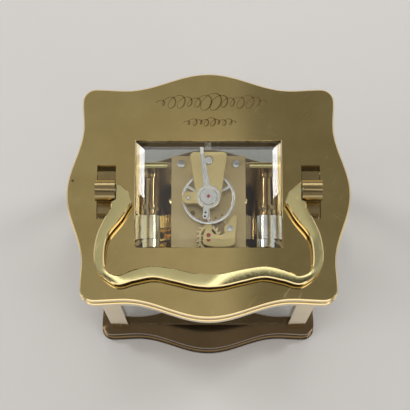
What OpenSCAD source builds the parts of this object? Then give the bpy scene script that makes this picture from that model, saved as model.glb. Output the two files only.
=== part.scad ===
// Carriage clock with a serpentine outline: glazed brass case, folding bail handle,
// rear door, and an eight-day movement with a lever platform escapement.
// Millimetres. +X is right as seen from the front, +Y runs to the back, +Z is up.
// The origin is the middle of the underside.

/* [Case outline] */
// Half width at the corners of the outline
corner_x = 42.7; // [38:0.1:52]
// Half depth at the corners of the outline
corner_y = 36.4; // [35:0.1:44]
// How far each side swells beyond its corners
side_lobe = 4.9; // [0:0.1:8]
// How far the front and the back swell beyond their corners
front_lobe = 5.5; // [0:0.1:8]
// Half length of the swelling on each side
side_lobe_half = 23.5; // [15:0.5:30]
// Half length of the swelling on the front and the back
front_lobe_half = 28; // [15:0.5:36]
// Radius of the four corners
corner_r = 4.5; // [2:0.5:8]
// How far the outline dips beside each corner
corner_dip = 0.4; // [0:0.1:1]

/* [Case heights] */
// Height of the base moulding
base_h = 14; // [12:0.5:20]
// Clear height of the pillars between the base and the top frame
pillar_h = 83; // [80:0.5:100]
// Thickness of the top frame under the top plate
frame_h = 5; // [4.5:0.1:8]
// Thickness of the top plate
plate_t = 5; // [4.5:0.1:8]
// Chamfer round the top plate
chamfer = 0.8; // [0.2:0.1:1.5]
// How far the top frame stands proud of the top plate
frame_proud = 0.4; // [0:0.1:1]
// Height of the base's bottom step
foot_h = 4; // [3:0.5:6]
// How far the base steps in above its foot
foot_step = 1.4; // [0.4:0.1:2.5]
// Thickness of the base's upper step
base_lip_h = 3; // [2:0.5:5]
// Thickness of the base's floor
floor_t = 4; // [3.5:0.5:6]

/* [Pillars and glass] */
// Width of each square corner pillar
pillar_w = 6.5; // [5.5:0.1:8]
// How far each pillar stands in from the outline's corner, across
pillar_in_x = 5.2; // [4:0.1:8]
// How far each pillar stands in from the outline's corner, front to back
pillar_in_y = 3; // [2.5:0.1:6]
// Thickness of the side, front and door glass
glass_t = 1.8; // [1.2:0.1:2.6]
// Clearance round a glass in its groove
glass_gap = 0.15; // [0.05:0.05:0.4]
// Depth of a glass groove
groove_d = 1.2; // [0.6:0.1:1.6]
// Distance from a pillar's outer face to the middle of the glass groove
groove_in = 2.4; // [1.8:0.1:4]

/* [Top window] */
// Width of the window in the top plate
window_x = 49.2; // [30:0.2:54]
// Depth of the window in the top plate
window_y = 36.8; // [24:0.2:44]
// Width of the ledge that the top glass hangs behind
window_ledge = 1.2; // [0.8:0.1:2]
// Thickness of the top glass at its edge
top_glass_edge = 2.4; // [1.5:0.1:3]
// Full thickness of the top glass
top_glass_t = 4.2; // [3:0.1:5]
// Width of the bevel round the top glass
bevel_w = 2.6; // [1:0.1:4]
// Height lost over the bevel
bevel_h = 1.1; // [0.4:0.1:1.6]

/* [Handle] */
// Half distance between the two handle posts
post_x = 34.3; // [33:0.1:38]
// Width of a handle post's round head
head_w = 6.6; // [4:0.1:8]
// Radius of a handle post's round head
head_r = 3.6; // [2.5:0.1:4]
// Length of the slot under each post
slot_l = 18.5; // [14:0.5:22]
// Width of the slot under each post
slot_w = 6.3; // [5:0.1:7]
// How far the slot lies behind the pivot line
slot_back = 0.5; // [0:0.1:2]
// Length of a post's foot in its slot
foot_l = 14.5; // [10:0.5:17]
// Height of the handle's pivot above the top plate
pivot_up = 4; // [3.8:0.1:6]
// Thickness of the handle
handle_t = 3.6; // [2.5:0.1:5]
// Radius of the handle's pivot pins
pin_r = 1; // [0.8:0.1:1.1]

/* [Rear door] */
// Thickness of the door frame
door_t = 3.8; // [3.6:0.1:5]
// Width of the door frame's rails and stiles
door_rail = 4.2; // [4:0.1:6]
// Gap round the door
door_gap = 0.35; // [0.2:0.05:0.6]
// Distance from the pillars' rear faces to the door's rear face
door_set = 0.7; // [0.3:0.1:1.5]
// Radius of the door's hinge pins
door_pin_r = 0.9; // [0.6:0.1:1.2]
// Radius of the door knob
knob_r = 2.2; // [1.5:0.1:3]

/* [Movement] */
// Width of the movement plates
move_w = 46; // [44:0.5:54]
// Thickness of the movement plates
move_t = 2.2; // [1.8:0.1:3]
// Inner face of the front plate
front_y = -16.3; // [-17:0.1:-15.8]
// Inner face of the back plate
back_y = 11.6; // [11:0.1:12.5]
// Height of the movement plates above the base
move_h = 79.9; // [78:0.1:82]
// Height of the dial's centre above the base
dial_up = 46; // [44:0.1:48]
// Radial running clearance of every pivot
run = 0.06; // [0.02:0.01:0.1]
// Radius of the four movement pillars
move_pillar_r = 1.8; // [1.6:0.1:2]

/* [Going train] */
// Teeth of the great wheel on the barrel
great_teeth = 80; // [72:1:90]
// Teeth of the centre pinion
centre_leaves = 10; // [10:1:14]
// Module of the great wheel
great_mod = 0.5; // [0.45:0.01:0.52]
// Teeth of the centre wheel
centre_teeth = 80; // [72:1:84]
// Teeth of the third pinion
third_leaves = 10; // [10:1:12]
// Module of the centre wheel
centre_mod = 0.35; // [0.3:0.01:0.36]
// Teeth of the third wheel
third_teeth = 75; // [70:1:80]
// Teeth of the contrate pinion
contrate_leaves = 10; // [10:1:12]
// Module of the third wheel
third_mod = 0.32; // [0.3:0.01:0.34]
// Teeth of the contrate wheel
contrate_teeth = 80; // [72:8:88]
// Teeth of the escape pinion
escape_leaves = 8; // [8:1:8]
// Radius of the contrate wheel at the middle of its teeth
contrate_r = 10.9; // [10:0.1:11.2]
// Teeth of the ratchet wheel
ratchet_teeth = 24; // [12:12:36]
// Radius of the barrel's drum
drum_r = 17.5; // [15:0.1:18]

/* [Motion work] */
// Teeth of the cannon pinion
cannon_teeth = 12; // [12:1:14]
// Teeth of the minute wheel
minute_teeth = 36; // [36:1:42]
// Teeth of the minute pinion
minute_leaves = 10; // [10:1:12]
// Teeth of the hour wheel
hour_teeth = 40; // [40:1:48]
// Distance from the dial's centre to the minute wheel's post
motion_dist = 9; // [8:0.1:10]

/* [Dial and hands] */
// Radius of the dial
dial_r = 23; // [18:0.5:26]
// Length of the minute hand
minute_l = 19; // [14:0.5:22]
// Length of the hour hand
hour_l = 13; // [9:0.5:15]

/* [Platform escapement] */
// Width of the platform
plat_w = 25.4; // [24:0.2:28]
// Thickness of the platform
plat_t = 1.6; // [1.2:0.1:2]
// Radius of the balance wheel
balance_r = 9; // [8:0.1:9.2]
// Distance from the balance to the pallet arbor
pallet_dist = 7.5; // [7.3:0.1:8]
// Distance from the pallet arbor to the escape arbor
escape_dist = 5.1; // [5:0.1:5.4]
// Radius of the escape wheel
escape_r = 4.4; // [4:0.1:4.5]
// Number of escape wheel teeth
escape_teeth = 15; // [12:1:18]
// Radius of the round end of the balance cock
cock_r = 4.4; // [3.8:0.1:5]

/* [Hidden] */
$fn = 64;
eps = 0.01;

// Levels of the case
pillar_z = base_h;
frame_z = base_h + pillar_h;
plate_z = frame_z + frame_h;
top_z = plate_z + plate_t;
pivot_z = top_z + pivot_up;

// Pillars and glass
pillar_out_x = corner_x - pillar_in_x;
pillar_out_y = corner_y - pillar_in_y;
pillar_mid_x = pillar_out_x - pillar_w / 2;
pillar_mid_y = pillar_out_y - pillar_w / 2;
pillar_inner_x = pillar_out_x - pillar_w;
pillar_inner_y = pillar_out_y - pillar_w;
side_glass_x = pillar_out_x - groove_in;
front_glass_y = -(pillar_out_y - groove_in);
groove_w = glass_t + 2 * glass_gap;
glass_z0 = base_h - groove_d + glass_gap;
glass_z1 = frame_z + groove_d - glass_gap;

// Screws
screw_r = 1.2;
screw_head_r = 2.1;
screw_head_t = 1.4;
head_gap = 0.15;
cavity_wall = 5.5;
cover_t = 1.6;
cover_gap = 0.2;
cover_up = 0.6;
cavity_x = corner_x - cavity_wall;
cavity_y = corner_y - cavity_wall;
cover_ledge = 1.6;
cover_corner = 3.2;
cover_screw_y = 14;
cover_screw_r = 0.9;
cover_screw_l = 7;
foot_screw_r = 0.8;
pillar_screw_l = 6;
post_screw_in = 4.4;
plate_screw_x = 12;
plate_screw_in = 1.4;
screw_seat = 2.9;

// Top frame and handle
frame_open_x = pillar_inner_x - 1;
frame_open_y = pillar_inner_y - 1;
neck_l = 4.6;
post_gap = 0.2;
pin_grip = 2;
lobe_x = post_x - head_w / 2 - 0.2;
curve_steps = 5;

// Door
door_y1 = pillar_out_y - door_set;
door_y0 = door_y1 - door_t;
door_mid_y = (door_y0 + door_y1) / 2;
door_half = pillar_inner_x - door_gap;
hinge_r = door_t / 2;
hinge_x = -door_half + hinge_r;
door_z0 = base_h + door_gap;
door_z1 = frame_z - door_gap;
pin_seat = 2.2;
knob_x = door_half - door_rail / 2;
knob_z = base_h + pillar_h / 2;

// Movement
move_z0 = base_h;
move_z1 = move_z0 + move_h;
dial_z = base_h + dial_up;
barrel_z = dial_z - great_mod * (great_teeth + centre_leaves) / 2;
centre_third = centre_mod * (centre_teeth + third_leaves) / 2;
third_contrate = third_mod * (third_teeth + contrate_leaves) / 2;
contrate_outer = contrate_r + 0.5;
contrate_inner = contrate_r - 0.5;
contrate_z = move_z1 - 0.6 - contrate_outer;
contrate_up = contrate_z - dial_z;
third_up = (centre_third * centre_third - third_contrate * third_contrate
    + contrate_up * contrate_up) / (2 * contrate_up);
third_x = -sqrt(centre_third * centre_third - third_up * third_up);
third_z = dial_z + third_up;
front_plate_y = front_y - move_t;
back_plate_y = back_y + move_t;
pillar_pos_x = move_w / 2 - 3.2;
vase_s = 3.7;
vase_l = 8.6;
vase_r = 3;
pillar_low = 5;
pillar_high = move_h - 6;
pivot_r = 0.8;
barrel_pivot_r = 1.8;
plate_screw_r = 1;
plat_screw_r = 0.7;

// Arbors in the plane of the plates, as [x, z]
barrel_at = [0, barrel_z];
centre_at = [0, dial_z];
third_at = [third_x, third_z];
contrate_at = [0, contrate_z];
minute_at = [motion_dist, dial_z];

// Gear form
pressure = 25;
add_share = 0.75;
ded_share = 1.0;
slack = 0.14;

// Barrel along Y
great_y = front_y + 1.7;
great_t = 2;
drum_y = great_y + great_t;
drum_l = 18;
drum_wall = 1.4;
cap_gap = 0.05;
cap_t = 1;
hub_r = 4.6;
spring_turns = 9;
spring_t = 0.35;
spring_in = 5;
square_w = 2.5;
hand_square_w = 1.1;
ratchet_y = back_plate_y + 0.4;
ratchet_t = 1.6;
ratchet_r = 6.5;
ratchet_root = 5.6;
winding_y = back_plate_y + 9;
setting_y = back_plate_y + 6;
click_x = 9.3;
click_down = 7.5;
spring_screw_x = 12.2;
spring_screw_down = -8;

// Going train along Y
centre_pinion_y = great_y - 0.5;
centre_pinion_l = great_t + 1;
centre_y = drum_y + drum_l + 1.7;
centre_t = 1.2;
tube_r = 1.3;
third_pinion_y = centre_y - 0.6;
third_pinion_l = centre_t + 1.2;
third_y = -7;
third_t = 4.4;
contrate_pinion_y = third_y - 0.6;
contrate_pinion_l = third_t + 1.2;
escape_y = -(pallet_dist + escape_dist);
face_pitch = 360 / contrate_teeth;
face_mod = 2 * contrate_r / contrate_teeth;
escape_pitch_r = face_mod * escape_leaves / 2;
face_add = 0.8 * face_mod;
face_ded = 1.1 * face_mod;
rim_y = escape_y + escape_pitch_r + face_ded;
rim_l = 3;
disc_t = 1;

// Motion work along Y, in front of the front plate
cannon_mod = 2 * motion_dist / (cannon_teeth + minute_teeth);
hour_mod = 2 * motion_dist / (minute_leaves + hour_teeth);
motion_t = 1;
cannon_y = front_plate_y - 0.5 - motion_t;
hour_y = cannon_y - 0.7 - motion_t;
cannon_pipe_r = 1.3;
hour_pipe_r = 2.1;
hour_bore_r = cannon_pipe_r + run;
mask_t = 1;
dial_t = 1;
mask_y = front_plate_y - 5.9 - mask_t;
dial_y = mask_y - dial_t;
hand_t = 0.5;
hour_hand_y = dial_y - 1.3;
minute_hand_y = hour_hand_y - 1.1;
mask_half_x = pillar_inner_x - 1.4;
mask_z0 = base_h + 1;
mask_z1 = frame_z - 2;
hour_angle = 305;
minute_angle = 60;

// Platform levels
plat_z = move_z1;
plat_top = plat_z + plat_t;
plat_y0 = front_plate_y - 0.6;
plat_y1 = back_plate_y + 1.8;
lever_z = plat_top + 0.6;
lever_t = 0.4;
cock_low_z = lever_z + lever_t + 0.4;
cock_low_t = 0.45;
roller_z = lever_z + lever_t + 0.5;
roller_t = 0.4;
balance_z = cock_low_z + cock_low_t + 0.3;
balance_t = 0.9;
spring_z = balance_z + balance_t + 0.3;
spring_h = 0.4;
cock_z = spring_z + spring_h + 0.4;
cock_t = 1.2;
cock_top = cock_z + cock_t;
index_t = 0.4;
staff_r = 0.5;
tip_r = 0.3;
screw_x = 9.45;
cock_screw_y = 12.7;
cock_sink = 0.6;
low_cock_screw = [7.2, -10.3];
cap_r = 2.3;
hair_in = 1.15;
hair_out = 3.9;
hair_turns = 8;
hair_t = 0.1;

// Outline of the case: each side is straight near its corners and swells in the middle
// along one cosine wave, and the corners are quarter circles.
side_steps = 28;
corner_steps = 7;
function wave(t, half) = abs(t) < half ? (1 + cos(180 * t / half)) / 2 : 0;
function ease(u) = u < 0 ? 0 : u > 1 ? 1 : u * u * (3 - 2 * u);
function edge(t, level, half, lobe, last) = level - corner_dip
    + (lobe + corner_dip) * wave(t, half)
    + corner_dip * ease((abs(t) - half) / (last - half));
function span(i, last) = -last + 2 * last * i / side_steps;
function front_edge(g) = let (last = corner_x - corner_r) [
    for (i = [0 : side_steps]) let (t = span(i, last))
        [t, -edge(t, corner_y + g, front_lobe_half, front_lobe, last)]
];
function right_edge(g) = let (last = corner_y - corner_r) [
    for (i = [0 : side_steps]) let (t = span(i, last))
        [edge(t, corner_x + g, side_lobe_half, side_lobe, last), t]
];
function corner_arc(sx, sy, start, g) = [
    for (i = [1 : corner_steps - 1]) let (a = start + 90 * i / corner_steps)
        [sx * (corner_x - corner_r) + (corner_r + g) * cos(a),
         sy * (corner_y - corner_r) + (corner_r + g) * sin(a)]
];
function turned(points) = [for (p = points) -p];
function outline(g) = concat(front_edge(g), corner_arc(1, -1, -90, g), right_edge(g),
    corner_arc(1, 1, 0, g), turned(front_edge(g)), corner_arc(-1, 1, 90, g),
    turned(right_edge(g)), corner_arc(-1, -1, 180, g));

// Involute tooth flank: half the tooth's angle at radius r
function inv(a) = tan(a) * 180 / PI - a;
function half_tooth(r, rp, rb, n) = let (q = max(r, rb))
    90 / n * (1 - slack) + inv(pressure) - inv(acos(min(1, rb / q)));
function polar(r, a) = [r * cos(a), r * sin(a)];
function gear_points(n, m, add, ded, flank) = let (
    rp = m * n / 2,
    rb = rp * cos(pressure),
    lo = rp - ded,
    hi = rp + add
) [
    for (i = [0 : n - 1])
        for (s = [0 : 2 * flank + 1])
            let (
                k = s <= flank ? s : 2 * flank + 1 - s,
                side = s <= flank ? -1 : 1,
                r = lo + (hi - lo) * k / flank
            )
            polar(r, i * 360 / n + side * half_tooth(r, rp, rb, n))
];

module slab(points, z, h) {
    translate([0, 0, z]) linear_extrude(h) polygon(points);
}

// Places a shape drawn in XY so that its axis runs along +Y from (x, y, z)
module along_y(x, y, z) {
    translate([x, y, z]) rotate([-90, 0, 0]) children();
}

module four(x, y, z) {
    for (sx = [-1, 1])
        for (sy = [-1, 1])
            translate([sx * x, sy * y, z]) children();
}

module gear(n, m, t, flank = 1, add = add_share, ded = ded_share) {
    linear_extrude(t) polygon(gear_points(n, m, add * m, ded * m, flank));
}

// Spoked wheel with n teeth: rim, arms and hub in one disc
module spoked(n, m, t, hub_r, bore_r, arms, rim_w) {
    inner_r = n * m / 2 - ded_share * m - rim_w;
    difference() {
        gear(n, m, t);
        crossings(inner_r, hub_r, arms, t);
        translate([0, 0, -1]) cylinder(r = bore_r, h = t + 2);
    }
}

module crossings(inner_r, hub_r, arms, t) {
    arm_w = 0.12 * inner_r;
    difference() {
        translate([0, 0, -1]) cylinder(r = inner_r, h = t + 2);
        translate([0, 0, -2]) cylinder(r = hub_r, h = t + 4);
        for (i = [0 : arms - 1])
            rotate([0, 0, i * 360 / arms])
                translate([0, -arm_w / 2, -2]) cube([2 * inner_r, arm_w, t + 4]);
    }
}

module screw(l, r = screw_r, head_r = screw_head_r, head_t = screw_head_t) {
    difference() {
        union() {
            translate([0, 0, -l]) cylinder(r = r, h = l + head_t / 2);
            cylinder(r = head_r, h = head_t);
        }
        translate([-head_r - 1, -head_r / 8, head_t * 0.6])
            cube([2 * head_r + 2, head_r / 4, head_t]);
    }
}

// ---- Case ----

module base_moulding() {
    color("goldenrod") difference() {
        union() {
            slab(outline(0), 0, foot_h);
            slab(outline(-foot_step), foot_h - eps, base_h - base_lip_h - foot_h + 2 * eps);
            slab(outline(-foot_step / 2), base_h - base_lip_h, base_lip_h);
        }
        translate([-cavity_x, -cavity_y, -1])
            cube([2 * cavity_x, 2 * cavity_y, cover_up + cover_t + 1]);
        translate([-cavity_x + cover_ledge, -cavity_y + cover_ledge, -1])
            cube([2 * (cavity_x - cover_ledge), 2 * (cavity_y - cover_ledge),
                base_h - floor_t + 1]);
        glass_grooves(base_h - groove_d, groove_d + 1);
        four(pillar_mid_x, pillar_mid_y, base_h - floor_t - 1)
            cylinder(r = screw_r, h = floor_t + 2);
        four(pillar_mid_x, pillar_mid_y, -1)
            cylinder(r = screw_head_r + head_gap, h = base_h - floor_t + 1);
        for (y = [front_y - move_t / 2, back_y + move_t / 2])
            for (sx = [-1, 1])
                translate([sx * pillar_pos_x, y, base_h - floor_t - 1])
                    cylinder(r = foot_screw_r, h = floor_t + 2);
        translate([hinge_x, door_mid_y, base_h - pin_seat])
            cylinder(r = door_pin_r, h = pin_seat + 1);
        four(cavity_x - cover_corner, cover_screw_y, -1)
            cylinder(r = cover_screw_r, h = cover_screw_l + 1);
    }
    color("goldenrod") cover_bosses();
}

// Bosses on the side walls that the bottom cover is screwed to
module cover_bosses() {
    boss = cover_corner * 2;
    z0 = cover_up + cover_t;
    difference() {
        for (sx = [-1, 1])
            for (sy = [-1, 1])
                translate([sx * (cavity_x - boss / 2) - boss / 2,
                    sy * cover_screw_y - boss / 2, z0])
                    cube([boss, boss, cover_screw_l - z0 + 1]);
        four(cavity_x - cover_corner, cover_screw_y, -1)
            cylinder(r = cover_screw_r, h = cover_screw_l + 1);
    }
}

// Grooves for the front glass and the two side glasses
module glass_grooves(z, h) {
    reach_y = pillar_inner_y + groove_d;
    reach_x = pillar_inner_x + groove_d;
    for (sx = [-1, 1])
        translate([sx * side_glass_x - groove_w / 2, -reach_y, z])
            cube([groove_w, 2 * reach_y, h]);
    translate([-reach_x, front_glass_y - groove_w / 2, z])
        cube([2 * reach_x, groove_w, h]);
}

module bottom_cover() {
    hx = cavity_x - cover_gap;
    hy = cavity_y - cover_gap;
    color("darkgoldenrod") difference() {
        translate([-hx, -hy, cover_up]) cube([2 * hx, 2 * hy, cover_t]);
        four(cavity_x - cover_corner, cover_screw_y, -1)
            cylinder(r = cover_screw_r + 0.1, h = cover_up + cover_t + 2);
        four(cavity_x - cover_corner, cover_screw_y, -1)
            cylinder(r = 1.8, h = cover_up + 1 + 0.9);
    }
}

module bottom_cover_screws() {
    color("silver")
        four(cavity_x - cover_corner, cover_screw_y, cover_up + 0.9)
            rotate([180, 0, 0]) screw(5, cover_screw_r - 0.05, 1.7, 0.8);
}

module pillar(sx, sy) {
    color("gold") difference() {
        translate([sx * pillar_mid_x - pillar_w / 2, sy * pillar_mid_y - pillar_w / 2,
            pillar_z]) cube([pillar_w, pillar_w, pillar_h]);
        glass_cut(sy);
        translate([sx * pillar_mid_x, sy * pillar_mid_y, pillar_z - 1])
            cylinder(r = screw_r, h = pillar_screw_l + 1);
        translate([sx * pillar_mid_x, sy * pillar_mid_y, frame_z - pillar_screw_l])
            cylinder(r = screw_r, h = pillar_screw_l + 1);
    }
}

// The rear pillars have no front groove
module glass_cut(sy) {
    reach_y = pillar_inner_y + groove_d;
    reach_x = pillar_inner_x + groove_d;
    for (sx = [-1, 1])
        translate([sx * side_glass_x - groove_w / 2, -reach_y, pillar_z - 1])
            cube([groove_w, 2 * reach_y, pillar_h + 2]);
    if (sy < 0)
        translate([-reach_x, front_glass_y - groove_w / 2, pillar_z - 1])
            cube([2 * reach_x, groove_w, pillar_h + 2]);
}

module pillar_front_left() pillar(-1, -1);
module pillar_front_right() pillar(1, -1);
module pillar_rear_left() pillar(-1, 1);
module pillar_rear_right() pillar(1, 1);

module pillar_screws() {
    color("silver") {
        four(pillar_mid_x, pillar_mid_y, base_h - floor_t)
            rotate([180, 0, 0]) screw(floor_t + pillar_screw_l - 1, screw_r);
        four(pillar_mid_x, pillar_mid_y, plate_z - screw_head_t)
            screw(frame_h - screw_head_t + pillar_screw_l - 1, screw_r);
    }
}

module top_frame() {
    color("goldenrod") difference() {
        slab(outline(frame_proud), frame_z, frame_h);
        translate([-frame_open_x, -frame_open_y, frame_z - 1])
            cube([2 * frame_open_x, 2 * frame_open_y, frame_h + 2]);
        glass_grooves(frame_z - 1, groove_d + 1);
        four(pillar_mid_x, pillar_mid_y, frame_z - 1)
            cylinder(r = screw_r, h = frame_h + 2);
        four(pillar_mid_x, pillar_mid_y, plate_z - screw_head_t)
            cylinder(r = screw_head_r + head_gap, h = screw_head_t + 1);
        for (p = post_screw_places()) translate([p[0], p[1], frame_z - 1]) {
            cylinder(r = screw_r, h = frame_h + 2);
            cylinder(r = screw_head_r + head_gap, h = 1 + screw_seat);
        }
        for (p = plate_screw_places()) translate([p[0], p[1], frame_z - 1]) {
            cylinder(r = screw_r, h = frame_h + 2);
            cylinder(r = screw_head_r + head_gap, h = 1 + screw_seat);
        }
        translate([hinge_x, door_mid_y, frame_z - 1])
            cylinder(r = door_pin_r, h = pin_seat + 1);
    }
}

function post_screw_places() = [
    for (sx = [-1, 1])
        for (sy = [-1, 1])
            [sx * post_x, slot_back + sy * post_screw_in]
];
function plate_screw_places() = [
    for (sx = [-1, 1])
        for (sy = [-1, 1])
            [sx * plate_screw_x, sy * (pillar_out_y - plate_screw_in)]
];

module top_plate() {
    ledge_z = plate_z + top_glass_edge + glass_gap;
    color("goldenrod") difference() {
        union() {
            slab(outline(0), plate_z, plate_t - chamfer);
            slab(outline(-chamfer), top_z - chamfer - eps, chamfer + eps);
        }
        translate([-window_x / 2, -window_y / 2, plate_z - 1])
            cube([window_x, window_y, plate_t + 2]);
        translate([-window_x / 2 - window_ledge, -window_y / 2 - window_ledge, plate_z - 1])
            cube([window_x + 2 * window_ledge, window_y + 2 * window_ledge,
                ledge_z - plate_z + 1]);
        for (sx = [-1, 1])
            translate([sx * post_x - slot_w / 2, slot_back - slot_l / 2, plate_z - 1])
                cube([slot_w, slot_l, plate_t + 2]);
        for (p = plate_screw_places()) translate([p[0], p[1], plate_z - 1])
            cylinder(r = screw_r, h = 1 + 3);
    }
}

module top_screws() {
    color("silver") {
        for (p = post_screw_places())
            translate([p[0], p[1], frame_z + screw_seat]) rotate([180, 0, 0])
                screw(frame_h - screw_seat + 2.8, screw_r);
        for (p = plate_screw_places())
            translate([p[0], p[1], frame_z + screw_seat]) rotate([180, 0, 0])
                screw(frame_h - screw_seat + 2.8, screw_r);
    }
}

module top_glass() {
    edge_x = window_x + 2 * window_ledge - 2 * glass_gap;
    edge_y = window_y + 2 * window_ledge - 2 * glass_gap;
    clear_x = window_x - 2 * glass_gap;
    clear_y = window_y - 2 * glass_gap;
    z1 = plate_z + top_glass_t;
    color("lightcyan", 0.35) {
        translate([-edge_x / 2, -edge_y / 2, plate_z]) cube([edge_x, edge_y, top_glass_edge]);
        translate([-clear_x / 2, -clear_y / 2, plate_z + 1])
            cube([clear_x, clear_y, top_glass_t - bevel_h - 1]);
        hull() {
            translate([-clear_x / 2, -clear_y / 2, z1 - bevel_h - eps])
                cube([clear_x, clear_y, eps]);
            translate([-clear_x / 2 + bevel_w, -clear_y / 2 + bevel_w, z1 - eps])
                cube([clear_x - 2 * bevel_w, clear_y - 2 * bevel_w, eps]);
        }
    }
}

module side_glass(sx) {
    half = pillar_inner_y + groove_d - glass_gap;
    color("lightcyan", 0.35)
        translate([sx * side_glass_x - glass_t / 2, -half, glass_z0])
            cube([glass_t, 2 * half, glass_z1 - glass_z0]);
}
module side_glass_left() side_glass(-1);
module side_glass_right() side_glass(1);

module front_glass() {
    half = pillar_inner_x + groove_d - glass_gap;
    color("lightcyan", 0.35)
        translate([-half, front_glass_y - glass_t / 2, glass_z0])
            cube([2 * half, glass_t, glass_z1 - glass_z0]);
}

// ---- Handle ----

module handle_post(sx) {
    foot_w = slot_w - 2 * post_gap;
    color("gold") difference() {
        union() {
            translate([sx * post_x - foot_w / 2, slot_back - foot_l / 2, plate_z])
                cube([foot_w, foot_l, plate_t - 0.6]);
            translate([sx * post_x - foot_w / 2, -neck_l / 2, top_z - 1])
                cube([foot_w, neck_l, pivot_up + 1]);
            translate([sx * post_x - head_w / 2, 0, pivot_z]) rotate([0, 90, 0])
                cylinder(r = head_r, h = head_w);
        }
        translate([sx * post_x - head_w, 0, pivot_z]) rotate([0, 90, 0])
            cylinder(r = pin_r, h = 2 * head_w);
        for (sy = [-1, 1])
            translate([sx * post_x, slot_back + sy * post_screw_in, plate_z - 1])
                cylinder(r = screw_r, h = 4);
    }
}
module handle_post_left() handle_post(-1);
module handle_post_right() handle_post(1);

// Right half of the handle, folded to the front, as a band between two curves.
// Each curve runs smoothly through a few points: [x, y] from the pivot line forward.
arm_inner = [
    [25.3, -4.0], [28.9, -9.7], [33.1, -15.3], [34.3, -21.4], [33.5, -26.8],
    [29.6, -28.7], [24.5, -26.8], [18.6, -25.6], [11.4, -26.5], [5, -27.9], [0, -28.4]
];
arm_outer = [
    [32.3, -6.2], [34.4, -9.7], [36.9, -15.7], [37.7, -22.4], [36.3, -27.4],
    [30.4, -31.6], [24.4, -30.4], [18.1, -29.3], [11.4, -30.6], [5, -32.1], [0, -32.6]
];
lobe_edge = [
    [32.3, -4.0 - 0.3], [lobe_x, -4.0 - 0.3], [lobe_x, 2.7], [29.3, 1.9], [27.7, 0.5],
    [26.2, -1.4]
];
function wrap(p, i) = p[max(0, min(len(p) - 1, i))];
function blend(a, b, c, d, u) = (2 * b + (c - a) * u
    + (2 * a - 5 * b + 4 * c - d) * u * u + (3 * b - a - 3 * c + d) * u * u * u) / 2;
function curve(p) = concat([
    for (i = [0 : len(p) - 2])
        for (s = [0 : curve_steps - 1])
            blend(wrap(p, i - 1), p[i], p[i + 1], wrap(p, i + 2), s / curve_steps)
], [p[len(p) - 1]]);
function backwards(p) = [for (i = [len(p) - 1 : -1 : 0]) p[i]];
function mirrored(p) = [for (q = p) [-q[0], q[1]]];
function handle_outline() = concat(
    curve(arm_outer), backwards(mirrored(curve(arm_outer))),
    mirrored(lobe_edge), mirrored(curve(arm_inner)),
    backwards(curve(arm_inner)), backwards(lobe_edge)
);

module handle() {
    color("khaki") difference() {
        slab(handle_outline(), pivot_z - handle_t / 2, handle_t);
        for (sx = [-1, 1])
            translate([sx * (lobe_x - pin_grip), 0, pivot_z])
                rotate([0, sx * 90, 0]) cylinder(r = pin_r + run, h = pin_grip + 1);
    }
}

module handle_pins() {
    color("silver")
        for (sx = [-1, 1])
            translate([sx * (lobe_x - pin_grip + 0.1), 0, pivot_z]) rotate([0, sx * 90, 0])
                cylinder(r = pin_r, h = head_w + pin_grip + 0.2);
}

// ---- Rear door ----

module door_frame() {
    slot_z = door_z0 + door_rail - groove_d;
    color("goldenrod") difference() {
        union() {
            translate([hinge_x, door_y0, door_z0])
                cube([door_half - hinge_x, door_t, door_z1 - door_z0]);
            translate([hinge_x, door_mid_y, door_z0])
                cylinder(r = hinge_r, h = door_z1 - door_z0);
        }
        translate([-door_half + door_rail, door_y0 - 1, door_z0 + door_rail])
            cube([2 * (door_half - door_rail), door_t + 2, door_z1 - door_z0 - 2 * door_rail]);
        translate([-door_half + door_rail - groove_d, door_mid_y - groove_w / 2, slot_z])
            cube([2 * (door_half - door_rail + groove_d), groove_w, door_z1 - slot_z + 1]);
        for (z = [door_z0 - 1, door_z1 - pin_seat])
            translate([hinge_x, door_mid_y, z])
                cylinder(r = door_pin_r + run, h = pin_seat + 1);
        translate([knob_x, door_y1 - 1.5, knob_z]) rotate([-90, 0, 0])
            cylinder(r = 0.8, h = 3);
    }
}

module door_glass() {
    half = door_half - door_rail + groove_d - glass_gap;
    z0 = door_z0 + door_rail - groove_d + glass_gap;
    color("lightcyan", 0.35) translate([-half, door_mid_y - glass_t / 2, z0])
        cube([2 * half, glass_t, door_z1 - 1 - z0]);
}

module door_knob() {
    color("gold") translate([knob_x, door_y1, knob_z]) rotate([-90, 0, 0]) {
        translate([0, 0, -1.4]) cylinder(r = 0.8, h = 2);
        cylinder(r = 1.1, h = 1.6);
        translate([0, 0, 1.4]) cylinder(r = knob_r, h = 1.6);
    }
}

module door_hinge_pins() {
    color("silver")
        for (z = [base_h - pin_seat, frame_z - pin_seat + 0.1])
            translate([hinge_x, door_mid_y, z])
                cylinder(r = door_pin_r, h = 2 * pin_seat - 0.1);
}

// ---- Dial and hands ----

module dial_mask() {
    post_in = 3.4;
    color("goldenrod") {
        difference() {
            translate([-mask_half_x, mask_y, mask_z0])
                cube([2 * mask_half_x, mask_t, mask_z1 - mask_z0]);
            along_y(0, mask_y - 1, dial_z) cylinder(r = hour_pipe_r + 0.5, h = mask_t + 2);
        }
        for (sx = [-1, 1])
            for (z = [move_z0 + 12, move_z1 - 14])
                along_y(sx * (move_w / 2 - post_in), mask_y + mask_t - eps, z)
                    cylinder(r = 1.4, h = front_plate_y - mask_y - mask_t + eps);
    }
}

module dial() {
    color("white") along_y(0, dial_y, dial_z) difference() {
        cylinder(r = dial_r, h = dial_t);
        translate([0, 0, -1]) cylinder(r = hour_pipe_r + 0.5, h = dial_t + 2);
    }
}

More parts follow.
